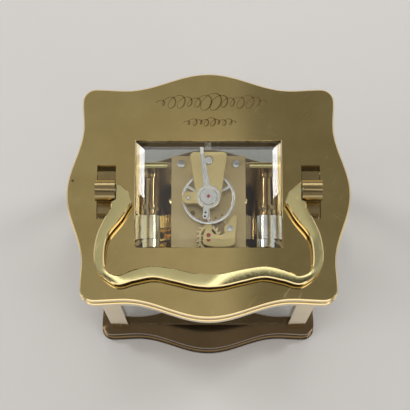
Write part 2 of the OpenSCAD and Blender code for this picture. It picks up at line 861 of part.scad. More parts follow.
// A hand of length l with a boss, a tapered blade and a spade near its tip
module hand(l, w, boss_r, bore_r) {
    spade_r = 0.095 * l;
    difference() {
        linear_extrude(hand_t) union() {
            circle(r = boss_r);
            polygon([[-w / 2, -0.7 * l], [w / 2, -0.7 * l], [w, 0], [-w, 0]]);
            translate([0, -0.74 * l]) circle(r = spade_r);
            polygon([[0, -l], [0.8 * spade_r, -0.77 * l], [-0.8 * spade_r, -0.77 * l]]);
        }
        translate([0, 0, -1]) cylinder(r = bore_r, h = hand_t + 2);
        translate([0, -0.74 * l, -1]) cylinder(r = spade_r * 0.5, h = hand_t + 2);
    }
}

module hour_hand() {
    color("midnightblue") along_y(0, hour_hand_y, dial_z) rotate([0, 0, hour_angle])
        hand(hour_l, 0.9, 3, hour_pipe_r);
}

module minute_hand() {
    color("midnightblue") along_y(0, minute_hand_y, dial_z) rotate([0, 0, minute_angle])
        hand(minute_l, 0.7, 2.2, cannon_pipe_r);
}

module hand_collet() {
    color("gold") along_y(0, minute_hand_y - 0.9, dial_z) difference() {
        cylinder(r = 1.7, h = 0.9);
        translate([0, 0, 0.4]) cylinder(r = pivot_r, h = 1);
    }
}

// ---- Movement plates ----

function plate_pivots() = [
    [0, barrel_z, barrel_pivot_r], [0, dial_z, pivot_r], [third_x, third_z, pivot_r],
    [0, contrate_z, pivot_r]
];

module move_plate(y) {
    difference() {
        translate([-move_w / 2, y, move_z0]) cube([move_w, move_t, move_h]);
        for (p = plate_pivots())
            along_y(p[0], y - 1, p[1]) cylinder(r = p[2] + run, h = move_t + 2);
        for (sx = [-1, 1]) {
            for (z = [pillar_low, pillar_high])
                along_y(sx * pillar_pos_x, y - 1, move_z0 + z)
                    cylinder(r = plate_screw_r, h = move_t + 2);
            translate([sx * screw_x, y + move_t / 2, move_z1 - 4])
                cylinder(r = plat_screw_r, h = 5);
            translate([sx * pillar_pos_x, y + move_t / 2, move_z0 - 1])
                cylinder(r = foot_screw_r, h = 3.2 + 1 - 0.8);
        }
    }
}

module front_plate() {
    color("goldenrod") {
        move_plate(front_plate_y);
        along_y(motion_dist, front_plate_y - 3.6, dial_z) cylinder(r = 0.8, h = 3.7);
    }
}

module back_plate() {
    color("goldenrod") difference() {
        move_plate(back_y);
        for (p = click_holes()) along_y(p[0], back_plate_y - 1.2, p[1])
            cylinder(r = 0.7, h = 2);
    }
}

module movement_pillars() {
    color("gold")
        for (sx = [-1, 1])
            for (z = [pillar_low, pillar_high])
                along_y(sx * pillar_pos_x, front_y, move_z0 + z) difference() {
                    union() {
                        cylinder(r = move_pillar_r, h = back_y - front_y);
                        for (s = [0, back_y - front_y - 2])
                            translate([0, 0, s]) cylinder(r = move_pillar_r + 0.9, h = 2);
                        translate([0, 0, vase_s]) cylinder(r = vase_r, h = vase_l);
                        translate([0, 0, vase_s + vase_l + 2.2])
                            cylinder(r = move_pillar_r + 0.7, h = 1.6);
                    }
                    for (s = [-1, back_y - front_y - 4])
                        translate([0, 0, s]) cylinder(r = plate_screw_r, h = 5);
                }
}

module movement_screws() {
    color("steelblue") {
        for (sx = [-1, 1])
            for (z = [pillar_low, pillar_high]) {
                along_y(sx * pillar_pos_x, back_plate_y, move_z0 + z)
                    screw(move_t + 3, plate_screw_r, 2, 1);
                along_y(sx * pillar_pos_x, front_plate_y, move_z0 + z)
                    mirror([0, 0, 1]) screw(move_t + 3, plate_screw_r, 2, 1);
            }
        for (sx = [-1, 1])
            for (y = [front_y - move_t / 2, back_y + move_t / 2])
                translate([sx * pillar_pos_x, y, base_h - floor_t]) rotate([180, 0, 0])
                    screw(floor_t + 2, foot_screw_r, 1.7, 1);
    }
}

// ---- Barrel and winding work ----

module barrel() {
    toward = -90;
    color("goldenrod") along_y(0, great_y, barrel_z) difference() {
        union() {
            rotate([0, 0, toward]) gear(great_teeth, great_mod, great_t);
            translate([0, 0, great_t - eps]) cylinder(r = drum_r, h = drum_l + eps);
        }
        translate([0, 0, -1]) cylinder(r = barrel_pivot_r + 0.4 + run, h = great_t + 2);
        translate([0, 0, great_t + 0.8]) cylinder(r = drum_r - drum_wall, h = drum_l);
        translate([0, 0, great_t + drum_l - cap_t])
            cylinder(r = drum_r - drum_wall + 0.5, h = cap_t + 1);
    }
}

module barrel_cap() {
    color("darkgoldenrod") along_y(0, drum_y + drum_l - cap_t, barrel_z) difference() {
        cylinder(r = drum_r - drum_wall + 0.5 - cap_gap, h = cap_t);
        translate([0, 0, -1]) cylinder(r = barrel_pivot_r + 0.4 + run, h = cap_t + 2);
    }
}

// Spiral strip between two radii, as one closed outline
function spiral(r0, r1, turns, t, steps) = concat(
    [for (i = [0 : steps * turns]) polar(r0 + (r1 - r0) * i / (steps * turns), i * 360 / steps)],
    [for (i = [steps * turns : -1 : 0])
        polar(r0 + t + (r1 - r0) * i / (steps * turns), i * 360 / steps)]
);

module mainspring() {
    color("slategray") along_y(0, drum_y + 1.4, barrel_z)
        linear_extrude(drum_l - cap_t - 2)
            polygon(spiral(spring_in, drum_r - drum_wall - spring_t - 0.1, spring_turns,
                spring_t, 16));
}

module barrel_arbor() {
    pr = barrel_pivot_r;
    color("silver") union() {
        along_y(0, front_plate_y, barrel_z) cylinder(r = pr, h = back_plate_y - front_plate_y);
        along_y(0, great_y + 0.3, barrel_z)
            cylinder(r = pr + 0.4, h = drum_y + drum_l + 0.4 - great_y);
        along_y(0, drum_y + 1.2, barrel_z) cylinder(r = hub_r, h = drum_l - cap_t - 1.6);
        along_y(0, back_plate_y - eps, barrel_z)
            translate([-square_w / 2, -square_w / 2, 0])
                cube([square_w, square_w, winding_y - back_plate_y + eps]);
    }
}

function saw(i, root, tip, n) = [polar(root, i * 360 / n), polar(tip, (i + 1) * 360 / n)];

module ratchet_wheel() {
    color("silver") along_y(0, ratchet_y, barrel_z) difference() {
        linear_extrude(ratchet_t)
            polygon([for (i = [0 : ratchet_teeth - 1])
                for (p = saw(i, ratchet_root, ratchet_r, ratchet_teeth)) p]);
        translate([-square_w / 2, -square_w / 2, -1])
            cube([square_w, square_w, ratchet_t + 2]);
    }
}

function click_holes() = [
    [click_x, barrel_z - click_down], [spring_screw_x, barrel_z - spring_screw_down]
];

module click() {
    color("silver") along_y(0, ratchet_y, barrel_z) difference() {
        linear_extrude(ratchet_t) union() {
            polygon([[6.0, 0.15], [7.6, 0.3], [10.9, 6.9], [8.0, 8.2], [6.35, 0.9]]);
            translate([click_x, click_down]) circle(r = 2.1);
        }
        translate([click_x, click_down, -1]) cylinder(r = 0.7 + run, h = ratchet_t + 2);
    }
}

// Flat blade that presses the click, held by one screw
module click_spring() {
    color("slategray") along_y(0, ratchet_y, barrel_z) difference() {
        linear_extrude(ratchet_t * 0.6) union() {
            translate([spring_screw_x, spring_screw_down]) circle(r = 2.1);
            polygon([[spring_screw_x - 2, spring_screw_down], [spring_screw_x + 1, spring_screw_down],
                [9.6, 1.6], [9.1, 1.7]]);
        }
        translate([spring_screw_x, spring_screw_down, -1]) cylinder(r = 0.7, h = ratchet_t + 2);
    }
}

module click_screws() {
    color("steelblue") {
        along_y(click_x, ratchet_y + ratchet_t + 0.1, barrel_z - click_down)
            screw(ratchet_t + 1.4, 0.7, 1.6, 0.8);
        along_y(spring_screw_x, ratchet_y + 0.6 * ratchet_t, barrel_z - spring_screw_down)
            screw(ratchet_t + 0.6, 0.7, 1.6, 0.8);
    }
}

// ---- Going train ----

// The centre wheel's tube carries its pinion, and the hands' arbor runs through it.
// Angle in the wheel plane from one arbor to another, both given as [x, z]
function bearing(a, b) = atan2(-(b[1] - a[1]), b[0] - a[0]);
function gap_turn(driver, own, n) = bearing(driver, own) + 180 + 180 / n;

module centre_arbor() {
    color("silver") union() {
        along_y(0, minute_hand_y - 0.4, dial_z)
            cylinder(r = pivot_r, h = back_plate_y + 0.4 - minute_hand_y);
        along_y(0, back_plate_y - eps, dial_z)
            translate([-hand_square_w / 2, -hand_square_w / 2, 0])
                cube([hand_square_w, hand_square_w, setting_y - back_plate_y]);
    }
}

module centre_wheel() {
    len = centre_y + centre_t + 0.6 - centre_pinion_y;
    color("gold") along_y(0, centre_pinion_y, dial_z) difference() {
        union() {
            cylinder(r = tube_r, h = len);
            rotate([0, 0, gap_turn(barrel_at, centre_at, centre_leaves)])
                gear(centre_leaves, great_mod, centre_pinion_l, 3);
            translate([0, 0, centre_y - centre_pinion_y])
                rotate([0, 0, bearing(centre_at, third_at)])
                    spoked(centre_teeth, centre_mod, centre_t, 3, 1, 5, 1.6);
        }
        translate([0, 0, -1]) cylinder(r = pivot_r + run, h = len + 2);
    }
}

module third_arbor() {
    color("silver") {
        along_y(third_x, front_plate_y, third_z)
            cylinder(r = pivot_r, h = back_plate_y - front_plate_y);
        along_y(third_x, third_pinion_y, third_z)
            rotate([0, 0, gap_turn(centre_at, third_at, third_leaves)])
                gear(third_leaves, centre_mod, third_pinion_l, 3);
    }
}

module third_wheel() {
    color("gold") along_y(third_x, third_y, third_z)
        rotate([0, 0, bearing(third_at, contrate_at)])
            spoked(third_teeth, third_mod, third_t, 2.4, pivot_r, 5, 1.6);
}

module contrate_arbor() {
    color("silver") {
        along_y(0, front_plate_y, contrate_z)
            cylinder(r = pivot_r, h = back_plate_y - front_plate_y);
        along_y(0, contrate_pinion_y, contrate_z)
            rotate([0, 0, gap_turn(third_at, contrate_at, contrate_leaves)])
                gear(contrate_leaves, third_mod, contrate_pinion_l, 3);
    }
}

// Crown wheel: a cup whose rim carries teeth that point to the front
module contrate_wheel() {
    root_w = 0.4 * face_mod * PI;
    tip_w = 0.2 * face_mod * PI;
    tall = face_add + face_ded;
    color("gold") along_y(0, rim_y, contrate_z) {
        difference() {
            cylinder(r = contrate_outer, h = rim_l);
            translate([0, 0, -1]) cylinder(r = contrate_inner, h = rim_l - disc_t + 1);
            crossings(contrate_inner - 1, 2.2, 4, rim_l);
            translate([0, 0, -1]) cylinder(r = pivot_r, h = rim_l + 2);
        }
        for (i = [0 : contrate_teeth - 1])
            rotate([0, 0, -90 + i * face_pitch]) translate([contrate_inner, 0, eps])
                rotate([90, 0, 90]) linear_extrude(contrate_outer - contrate_inner)
                    polygon([[-root_w / 2, 0], [-tip_w / 2, -tall], [tip_w / 2, -tall],
                        [root_w / 2, 0]]);
    }
}

// ---- Motion work ----

module cannon_pinion() {
    color("silver") difference() {
        union() {
            along_y(0, cannon_y, dial_z) rotate([0, 0, bearing(centre_at, minute_at)])
                gear(cannon_teeth, cannon_mod, motion_t, 3);
            along_y(0, minute_hand_y, dial_z)
                cylinder(r = cannon_pipe_r, h = cannon_y - minute_hand_y + eps);
        }
        along_y(0, minute_hand_y - 1, dial_z) cylinder(r = pivot_r, h = front_plate_y - minute_hand_y + 1);
    }
}

module minute_wheel() {
    color("gold") difference() {
        union() {
            along_y(motion_dist, cannon_y, dial_z)
                rotate([0, 0, gap_turn(centre_at, minute_at, minute_teeth)])
                    gear(minute_teeth, cannon_mod, motion_t);
            along_y(motion_dist, hour_y - 0.2, dial_z)
                rotate([0, 0, bearing(minute_at, centre_at)])
                    gear(minute_leaves, hour_mod, cannon_y - hour_y + 0.2 + eps, 3);
        }
        along_y(motion_dist, hour_y - 1, dial_z) cylinder(r = 0.8 + run, h = 6);
    }
}

module hour_wheel() {
    color("gold") difference() {
        union() {
            along_y(0, hour_y, dial_z) rotate([0, 0, gap_turn(minute_at, centre_at, hour_teeth)])
                gear(hour_teeth, hour_mod, motion_t);
            along_y(0, hour_hand_y, dial_z)
                cylinder(r = hour_pipe_r, h = hour_y - hour_hand_y + eps);
        }
        along_y(0, hour_hand_y - 1, dial_z) cylinder(r = hour_bore_r, h = 9);
    }
}

// ---- Platform escapement ----

module platform_plate() {
    notch_w = 12;
    notch_d = 1.2;
    color("goldenrod") {
        difference() {
            translate([-plat_w / 2, plat_y0, plat_z]) cube([plat_w, plat_y1 - plat_y0, plat_t]);
            translate([-notch_w / 2, plat_y1 - notch_d, plat_z - 1])
                cube([notch_w, notch_d + 1, plat_t + 2]);
            for (p = platform_holes()) translate([p[0], p[1], plat_z - 1])
                cylinder(r = plat_screw_r, h = plat_t + 2);
            translate([0, cock_screw_y, plat_z - 1]) cylinder(r = 0.8, h = plat_t + 2);
            translate([low_cock_screw[0], low_cock_screw[1], plat_z - 1])
                cylinder(r = 0.6, h = plat_t + 2);
            translate([0, 0, plat_z - 1]) cylinder(r = tip_r + run, h = plat_t + 2);
            translate([0, -pallet_dist, plat_z - 1]) cylinder(r = tip_r + run, h = plat_t + 2);
            translate([0, escape_y, plat_z - 1])
                cylinder(r = escape_pitch_r + face_add + 0.2, h = plat_t + 2);
        }
        potence();
    }
}

// Bracket under the platform that holds the escape arbor's lower pivot
module potence() {
    low = plat_z - 3.8;
    leg = 1.5;
    difference() {
        union() {
            translate([-leg, front_y + 0.25, low - 1.2]) cube([2 * leg, 1.6, plat_z - low + 1.2 + eps]);
            translate([-leg, front_y + 0.25, low - 1.2])
                cube([2 * leg, escape_y + 1.2 - front_y - 0.25, 1.2]);
        }
        translate([0, escape_y, low - 2]) cylinder(r = tip_r + run, h = 3);
    }
}

function platform_holes() = [
    for (sx = [-1, 1])
        for (y = [front_y - move_t / 2, back_y + move_t / 2])
            [sx * screw_x, y]
];

module platform_screws() {
    color("steelblue") {
        for (p = platform_holes()) translate([p[0], p[1], plat_top])
            screw(plat_t + 3, plat_screw_r, 1.3, 0.8);
        translate([0, cock_screw_y, cock_top - cock_sink])
            screw(cock_top - cock_sink - plat_top + 1, 0.8, 1.5, cock_sink - 0.05);
        translate([low_cock_screw[0], low_cock_screw[1], cock_low_z + cock_low_t])
            screw(1.6, 0.6, 1.1, 0.3);
    }
}

module balance_cock() {
    foot_y = balance_r + 0.5;
    back_w = 6.4;
    color("gold") difference() {
        union() {
            translate([-back_w, foot_y, plat_top])
                cube([2 * back_w, plat_y1 - foot_y, cock_top - plat_top]);
            translate([0, 0, cock_z]) linear_extrude(cock_t)
                polygon([[-back_w, foot_y + 1], [-cock_r * 0.96, 0.6], [cock_r * 0.96, 0.6],
                    [back_w, foot_y + 1]]);
            translate([0, 0, cock_z]) cylinder(r = cock_r, h = cock_t);
            translate([-7, -1.1, cock_z]) cube([4, 2.2, cock_t]);
        }
        translate([0, 0, cock_z - 1]) cylinder(r = tip_r + run, h = cock_t + 2);
        translate([0, cock_screw_y, plat_top - 1]) cylinder(r = 0.8, h = cock_top - plat_top + 2);
        translate([0, cock_screw_y, cock_top - cock_sink]) cylinder(r = 1.6, h = cock_sink + 1);
        translate([-5.9, 0, cock_z - 1]) cylinder(r = 0.45, h = cock_t + 2);
    }
}

module balance_wheel() {
    rim_w = 0.9;
    arm_w = 0.9;
    color("gold") translate([0, 0, balance_z]) difference() {
        union() {
            difference() {
                cylinder(r = balance_r, h = balance_t);
                translate([0, 0, -1]) cylinder(r = balance_r - rim_w, h = balance_t + 2);
            }
            for (i = [0 : 2]) rotate([0, 0, 30 + 120 * i]) translate([0, -arm_w / 2, 0.2])
                cube([balance_r - rim_w / 2, arm_w, balance_t - 0.4]);
            cylinder(r = 1.4, h = balance_t);
        }
        translate([0, 0, -1]) cylinder(r = staff_r, h = balance_t + 2);
    }
}

module balance_staff() {
    z0 = plat_z + 0.2;
    color("silver") {
        translate([0, 0, z0]) cylinder(r = tip_r, h = cock_top - 0.1 - z0);
        translate([0, 0, roller_z - 0.2]) cylinder(r = staff_r, h = cock_z - 0.2 - roller_z + 0.2);
        translate([0, 0, roller_z]) cylinder(r = 2.5, h = roller_t);
        translate([0, -2.1, lever_z + lever_t + 0.1])
            cylinder(r = 0.25, h = roller_z - lever_z - lever_t - 0.1 + 0.1);
        translate([0, 0, spring_z - 0.05]) cylinder(r = 1, h = spring_h + 0.1);
    }
}

module hairspring() {
    color("steelblue") translate([0, 0, spring_z]) linear_extrude(spring_h)
        polygon(spiral(hair_in, hair_out, hair_turns, hair_t, 24));
}

module regulator_index() {
    collar = 3;
    tip = [-2.5, 17.3];
    tail = [-1.4, -8.1];
    color("silver") translate([0, 0, cock_top + 0.05]) difference() {
        linear_extrude(index_t) union() {
            circle(r = collar);
            polygon([[1.1, 2.6], [-0.6, 6], [tip[0] + 0.25, tip[1]], [tip[0] - 0.25, tip[1]],
                [-1.6, 2.4]]);
            polygon([[-1.5, -2.4], [tail[0] - 0.9, tail[1]], [tail[0] + 0.9, tail[1]], [1.1, -2.4]]);
            translate(tail) circle(r = 0.9);
        }
        translate([0, 0, -1]) cylinder(r = cap_r + run, h = index_t + 2);
        translate([-1.3, -5.4, -1]) cylinder(r = 0.35, h = index_t + 2);
        translate([tail[0], tail[1], -1]) cylinder(r = 0.4, h = index_t + 2);
    }
}

module endstone_cap() {
    color("silver") translate([0, 0, cock_top]) difference() {
        cylinder(r = cap_r, h = index_t + 0.3);
        translate([0, 0, index_t]) cylinder(r = 0.9, h = 1);
    }
}

module escape_cock() {
    color("gold") difference() {
        union() {
            translate([0, 0, cock_low_z]) linear_extrude(cock_low_t) union() {
                translate([0, -pallet_dist]) circle(r = 1.2);
                translate([0, escape_y]) circle(r = 1.5);
                translate(low_cock_screw) circle(r = 2.4);
                polygon([[0, -pallet_dist - 1.1], [7.2, -12.6], [8, -8.3], [0, -pallet_dist + 1.1]]);
                polygon([[0, escape_y - 1.4], [8, -12.4], [7, -9], [0, escape_y + 1.4]]);
            }
            translate([low_cock_screw[0], low_cock_screw[1], plat_top])
                cylinder(r = 2, h = cock_low_z - plat_top + eps);
        }
        translate([0, -pallet_dist, plat_top - 1]) cylinder(r = tip_r + run, h = 4);
        translate([0, escape_y, plat_top - 1]) cylinder(r = tip_r + run, h = 4);
        translate([low_cock_screw[0], low_cock_screw[1], plat_top - 1]) cylinder(r = 0.6, h = 4);
    }
}

module escape_wheel() {
    color("gold") translate([0, escape_y, lever_z]) difference() {
        linear_extrude(lever_t) polygon([
            for (i = [0 : escape_teeth - 1])
                for (p = [[0.76, 0.1], [1, 0.72], [1, 0.86], [0.76, 0.8]])
                    polar(escape_r * p[0], (i + p[1]) * 360 / escape_teeth)
        ]);
        crossings(escape_r * 0.6, 0.9, 4, lever_t);
    }
    color("silver") {
        translate([0, escape_y, plat_z - 5]) cylinder(r = tip_r, h = cock_low_z + cock_low_t - plat_z + 5);
        translate([0, escape_y, plat_z - 3.4]) rotate([0, 0, 90 + 180 / escape_leaves])
            linear_extrude(3) polygon(gear_points(escape_leaves, face_mod, face_add, face_ded, 3));
        translate([0, escape_y, plat_z - 0.5]) cylinder(r = 0.6, h = lever_z - plat_z + 0.5 + eps);
    }
}

module pallet_lever() {
    arm = 2.7;
    color("silver") {
        translate([0, -pallet_dist, plat_z + 0.3])
            cylinder(r = tip_r, h = cock_low_z + cock_low_t - plat_z - 0.3);
        translate([0, -pallet_dist, lever_z]) linear_extrude(lever_t) difference() {
            union() {
                circle(r = 0.6);
                polygon([[-0.4, 0], [0.4, 0], [0.3, 4.3], [0.9, 5.6], [0.35, 5.7], [0.3, 4.9],
                    [-0.3, 4.9], [-0.35, 5.7], [-0.9, 5.6], [-0.3, 4.3]]);
                polygon([[-arm - 0.4, -0.6], [0, 0.5], [arm + 0.4, -0.6], [arm + 0.2, -1.2],
                    [0, -0.5], [-arm - 0.2, -1.2]]);
            }
            circle(r = tip_r - 0.05);
        }
    }
}

base_moulding();
bottom_cover();
bottom_cover_screws();
pillar_front_left();
pillar_front_right();
pillar_rear_left();
pillar_rear_right();
pillar_screws();
top_frame();
top_plate();
top_screws();
top_glass();
front_glass();
side_glass_left();
side_glass_right();
handle_post_left();
handle_post_right();
handle();
handle_pins();
door_frame();
door_glass();
door_knob();
door_hinge_pins();
dial_mask();
dial();
hour_hand();
minute_hand();
hand_collet();
front_plate();
back_plate();
movement_pillars();
movement_screws();
barrel();
barrel_cap();
mainspring();
barrel_arbor();
ratchet_wheel();
click();
click_spring();
click_screws();
centre_arbor();
centre_wheel();
third_arbor();
third_wheel();
contrate_arbor();
contrate_wheel();
cannon_pinion();
minute_wheel();
hour_wheel();
platform_plate();
platform_screws();
balance_cock();
balance_wheel();
balance_staff();
hairspring();
regulator_index();
endstone_cap();
escape_cock();
escape_wheel();
pallet_lever();
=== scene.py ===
# %% [markdown]
# # A serpentine carriage clock, seen from above
# The real clock is a brass case with five panes of glass round a spring-driven movement.
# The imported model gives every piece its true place, so this lesson only adds finish: real
# chamfers on the case, a shaped handle, jewels, an enamelled dial, glass and metal.
# All lengths in the lesson are millimetres in the clock's own frame and are turned into
# metres once, where a mesh is made.

import math

import bmesh
import bpy
import numpy as np
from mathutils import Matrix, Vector


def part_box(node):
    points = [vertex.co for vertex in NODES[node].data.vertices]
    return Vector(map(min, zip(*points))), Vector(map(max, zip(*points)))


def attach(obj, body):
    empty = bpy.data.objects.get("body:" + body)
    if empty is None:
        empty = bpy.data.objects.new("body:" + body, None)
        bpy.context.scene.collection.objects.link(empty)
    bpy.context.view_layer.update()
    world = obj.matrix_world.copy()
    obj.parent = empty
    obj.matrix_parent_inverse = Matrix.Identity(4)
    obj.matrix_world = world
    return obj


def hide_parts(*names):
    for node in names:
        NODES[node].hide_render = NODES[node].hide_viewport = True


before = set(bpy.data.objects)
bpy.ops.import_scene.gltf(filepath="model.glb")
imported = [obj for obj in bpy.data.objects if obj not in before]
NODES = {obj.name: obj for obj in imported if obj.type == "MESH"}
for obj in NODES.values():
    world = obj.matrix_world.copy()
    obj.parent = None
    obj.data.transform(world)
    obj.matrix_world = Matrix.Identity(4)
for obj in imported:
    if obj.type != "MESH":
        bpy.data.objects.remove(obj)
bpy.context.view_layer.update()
MM = 0.001

# %% [markdown]
# ## The sizes the case is built round
# These repeat the case's own sizes, so that a chamfer or a step laid over the case meets it
# exactly. The top plate's upper face is the level that everything on top is measured from.

# %% Sizes of the case
BASE_H = 14.0
FRAME_Z, PLATE_Z, TOP_Z = 97.0, 102.0, 107.0
PIVOT_Z = 111.0
CORNER_X, CORNER_Y, CORNER_R = 42.7, 36.4, 4.5
SIDE_LOBE, FRONT_LOBE = 4.9, 5.5
SIDE_HALF, FRONT_HALF, DIP = 23.5, 28.0, 0.4
CHAMFER, PROUD = 0.38, 0.4
WINDOW_X, WINDOW_Y = 24.6, 18.4
SLOT_X0, SLOT_X1, SLOT_Y0, SLOT_Y1 = 31.15, 37.45, -8.75, 9.75
print("top plate at", TOP_Z, "mm")

# %% [markdown]
# ## The camera
# The clock is looked down on steeply from the front with a long lens, so the case shows
# almost as a plan and the front pillars only peep out below it.

# %% Camera


def new_object(name, data):
    """An object that shows the data, linked into the scene."""
    obj = bpy.data.objects.new(name, data)
    bpy.context.scene.collection.objects.link(obj)
    return obj


TARGET = np.array([-1.2, -3.97, TOP_Z])
DISTANCE, ELEVATION = 449.0, math.radians(77.36)
back = np.array([0.0, -math.cos(ELEVATION), math.sin(ELEVATION)])
camera_data = bpy.data.cameras.new("camera")
camera_data.sensor_width = 36.0
camera_data.lens = 117.92
camera_data.clip_start, camera_data.clip_end = 0.01, 20.0
camera = new_object("camera", camera_data)
camera.location = (TARGET + DISTANCE * back) * MM
camera.rotation_euler = (math.pi / 2 - ELEVATION, 0.0, 0.0)
bpy.context.scene.camera = camera
print("camera", [round(v, 4) for v in camera.location])

# %% [markdown]
# ## Making a surface
# Every new piece is a grid of points: rows run along one parameter and columns along the
# other. A grid can be closed in either direction, and pieces made of several grids are
# joined into one mesh. Doubled points at seams are merged, the faces are turned outward,
# and only edges sharper than a set angle stay sharp.

# %% Grids and pieces


def grid(points, close_rows=False, close_cols=False, skip=None):
    """Faces of a grid of points (rows, columns, 3): each cell joins a point to its next column,
    to the next row's next column and to the next row. Cells marked in skip are left out."""
    rows, cols = points.shape[:2]
    r = np.arange(rows if close_rows else rows - 1)
    c = np.arange(cols if close_cols else cols - 1)
    rr, cc = np.meshgrid(r, c, indexing="ij")
    keep = np.ones(rr.shape, bool) if skip is None else ~skip[: len(r), : len(c)]
    rr, cc = rr[keep], cc[keep]
    r1, c1 = (rr + 1) % rows, (cc + 1) % cols
    quads = np.stack([rr * cols + cc, rr * cols + c1, r1 * cols + c1, r1 * cols + cc], 1)
    return points.reshape(-1, 3), quads


def fan(points):
    """Triangles from the middle of a closed loop of points to each of its sides."""
    n = len(points)
    verts = np.vstack([points, points.mean(0)])
    i = np.arange(n)
    return verts, np.stack([i, (i + 1) % n, np.full(n, n)], 1)


def capped(rings):
    """A solid's surfaces from its rings of points: the grid between them and a fan at each end."""
    return [grid(rings, close_cols=True), fan(rings[0]), fan(rings[-1])]


def piece(name, parts, materials, body="root", replaces=(), sharp=35.0, zones=None):
    """One object from several (points, faces) surfaces in millimetres, with normals outward and
    edges over sharp degrees kept sharp; zones gives each surface's material number."""
    mesh = bpy.data.meshes.new(name)
    verts, faces, index, start = [], [], [], 0
    for n, (p, f) in enumerate(parts):
        verts.append(p)
        faces.extend((f + start).tolist())
        index.append(np.full(len(f), 0 if zones is None else zones[n]))
        start += len(p)
    mesh.from_pydata((np.vstack(verts) * MM).tolist(), [], faces)
    mesh.polygons.foreach_set("material_index", np.concatenate(index).astype(np.int32))
    bm = bmesh.new()
    bm.from_mesh(mesh)
    bmesh.ops.remove_doubles(bm, verts=bm.verts, dist=2e-6)
    bmesh.ops.dissolve_degenerate(bm, edges=bm.edges, dist=1e-7)
    bmesh.ops.recalc_face_normals(bm, faces=bm.faces)
    bm.to_mesh(mesh)
    bm.free()
    mesh.polygons.foreach_set("use_smooth", np.ones(len(mesh.polygons), bool))
    mesh.set_sharp_from_angle(angle=math.radians(sharp))
    for m in materials:
        mesh.materials.append(m)
    obj = new_object(name, mesh)
    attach(obj, body)
    if replaces:
        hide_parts(*replaces)
    print(name, len(mesh.polygons), "faces")


def lathe(profile, centre, axis="z", steps=48):
    """A profile of (radius, height) pairs turned round an axis through centre: each point runs
    along a circle, and an end on the axis closes by itself."""
    p = np.asarray(profile, float)
    a = np.linspace(0, 2 * np.pi, steps, endpoint=False)
    x, y = p[:, :1] * np.cos(a), p[:, :1] * np.sin(a)
    z = np.repeat(p[:, 1:], steps, 1)
    order = {"z": (x, y, z), "x": (z, x, y), "y": (y, z, x)}[axis]
    return grid(np.stack(order, 2) + np.asarray(centre, float), close_cols=True)


print("surfaces come from", [f.__name__ for f in (grid, fan, lathe)])


# %% [markdown]
# ## The serpentine outline
# Seen from above, each side is straight beside its corners and swells in the middle along
# one wave of a cosine; the corners are quarter circles. Every level of the case is this
# one outline moved in or out, and a rectangle is laid out with the same count of points,
# so that a ring of the case is simply one loop joined to the next.

# %% Outline loops


def swell(t, level, half, lobe, last):
    """Distance of a side from the middle: a cosine wave inside half, a slight dip beside it that
    returns to the level at the side's end by a smooth step."""
    wave = np.where(np.abs(t) < half, (1 + np.cos(np.pi * t / half)) / 2, 0)
    u = np.clip((np.abs(t) - half) / (last - half), 0, 1)
    return level - DIP + (lobe + DIP) * wave + DIP * u * u * (3 - 2 * u)


def stations(end):
    """Places along a side, with exact stops at the two ends of the handle's slot."""
    before = np.linspace(-end, SLOT_Y0, SLOT_FIRST + 1)
    beside = np.linspace(SLOT_Y0, SLOT_Y1, SLOT_LAST - SLOT_FIRST + 1)
    behind = np.linspace(SLOT_Y1, end, SLOT_FIRST + 1)
    return np.concatenate([before, beside[1:], behind[1:]])


SLOT_FIRST, SLOT_LAST = 21, 38
ALONG = np.linspace(-1, 1, 65)
TURN = np.radians(np.linspace(0, 90, 9)[1:-1])


def around(front, right, cx, cy, r, z):
    """One closed loop from a front side (x, y), a right side (x, y) and corner circles of radius
    r about (cx, cy): each of them is used again, mirrored, on the opposite side."""
    arc = np.stack([cx + r * np.sin(TURN), -cy - r * np.cos(TURN)], 1)
    arc2 = np.stack([cx + r * np.cos(TURN), cy + r * np.sin(TURN)], 1)
    flip = np.array([-1.0, 1.0])
    back_side, left_side = front[::-1] * [1, -1], right[::-1] * flip
    flat = np.vstack([front, arc, right, arc2, back_side, arc2[::-1] * flip, left_side, arc[::-1] * flip])
    return np.column_stack([flat, np.full(len(flat), z)])


def outline(out, z):
    """The serpentine outline moved outward by out, at height z."""
    lx, ly = CORNER_X - CORNER_R, CORNER_Y - CORNER_R
    x, y = ALONG * lx, stations(ly)
    front = np.stack([x, -swell(x, CORNER_Y + out, FRONT_HALF, FRONT_LOBE, lx)], 1)
    right = np.stack([swell(y, CORNER_X + out, SIDE_HALF, SIDE_LOBE, ly), y], 1)
    return around(front, right, lx, ly, CORNER_R + out, z)


def oblong(hx, hy, z, r=0.15):
    """A rectangle of half sizes hx and hy with corners of radius r, at height z."""
    y = stations(hy - r)
    front = np.stack([ALONG * (hx - r), np.full(len(ALONG), -hy)], 1)
    right = np.stack([np.full(len(y), hx), y], 1)
    return around(front, right, hx - r, hy - r, r, z)


RIGHT_0 = len(ALONG) + len(TURN)
SIDE_COUNT = len(stations(20.0))
LEFT_0 = RIGHT_0 + SIDE_COUNT + len(TURN) + len(ALONG) + len(TURN)
print("points round the case", len(outline(0, 0)))

# %% [markdown]
# ## Metal finishes
# Lacquered brass is never one colour: it carries fine grain from the last polishing, a few
# longer scratches, faint cloudy patches and specks of dust. Those are drawn once as node
# groups that put out masks, and each metal then mixes its own colours and gloss with them.

# %% Node group helpers


def new_group(name, inputs, outputs):
    """An empty node group with named float or vector inputs and float outputs."""
    g = bpy.data.node_groups.new(name, "ShaderNodeTree")
    for n, kind, value in inputs:
        s = g.interface.new_socket(n, in_out="INPUT", socket_type=kind)
        s.default_value = value
    for n in outputs:
        g.interface.new_socket(n, in_out="OUTPUT", socket_type="NodeSocketFloat")
    return g, g.nodes.new("NodeGroupInput"), g.nodes.new("NodeGroupOutput")


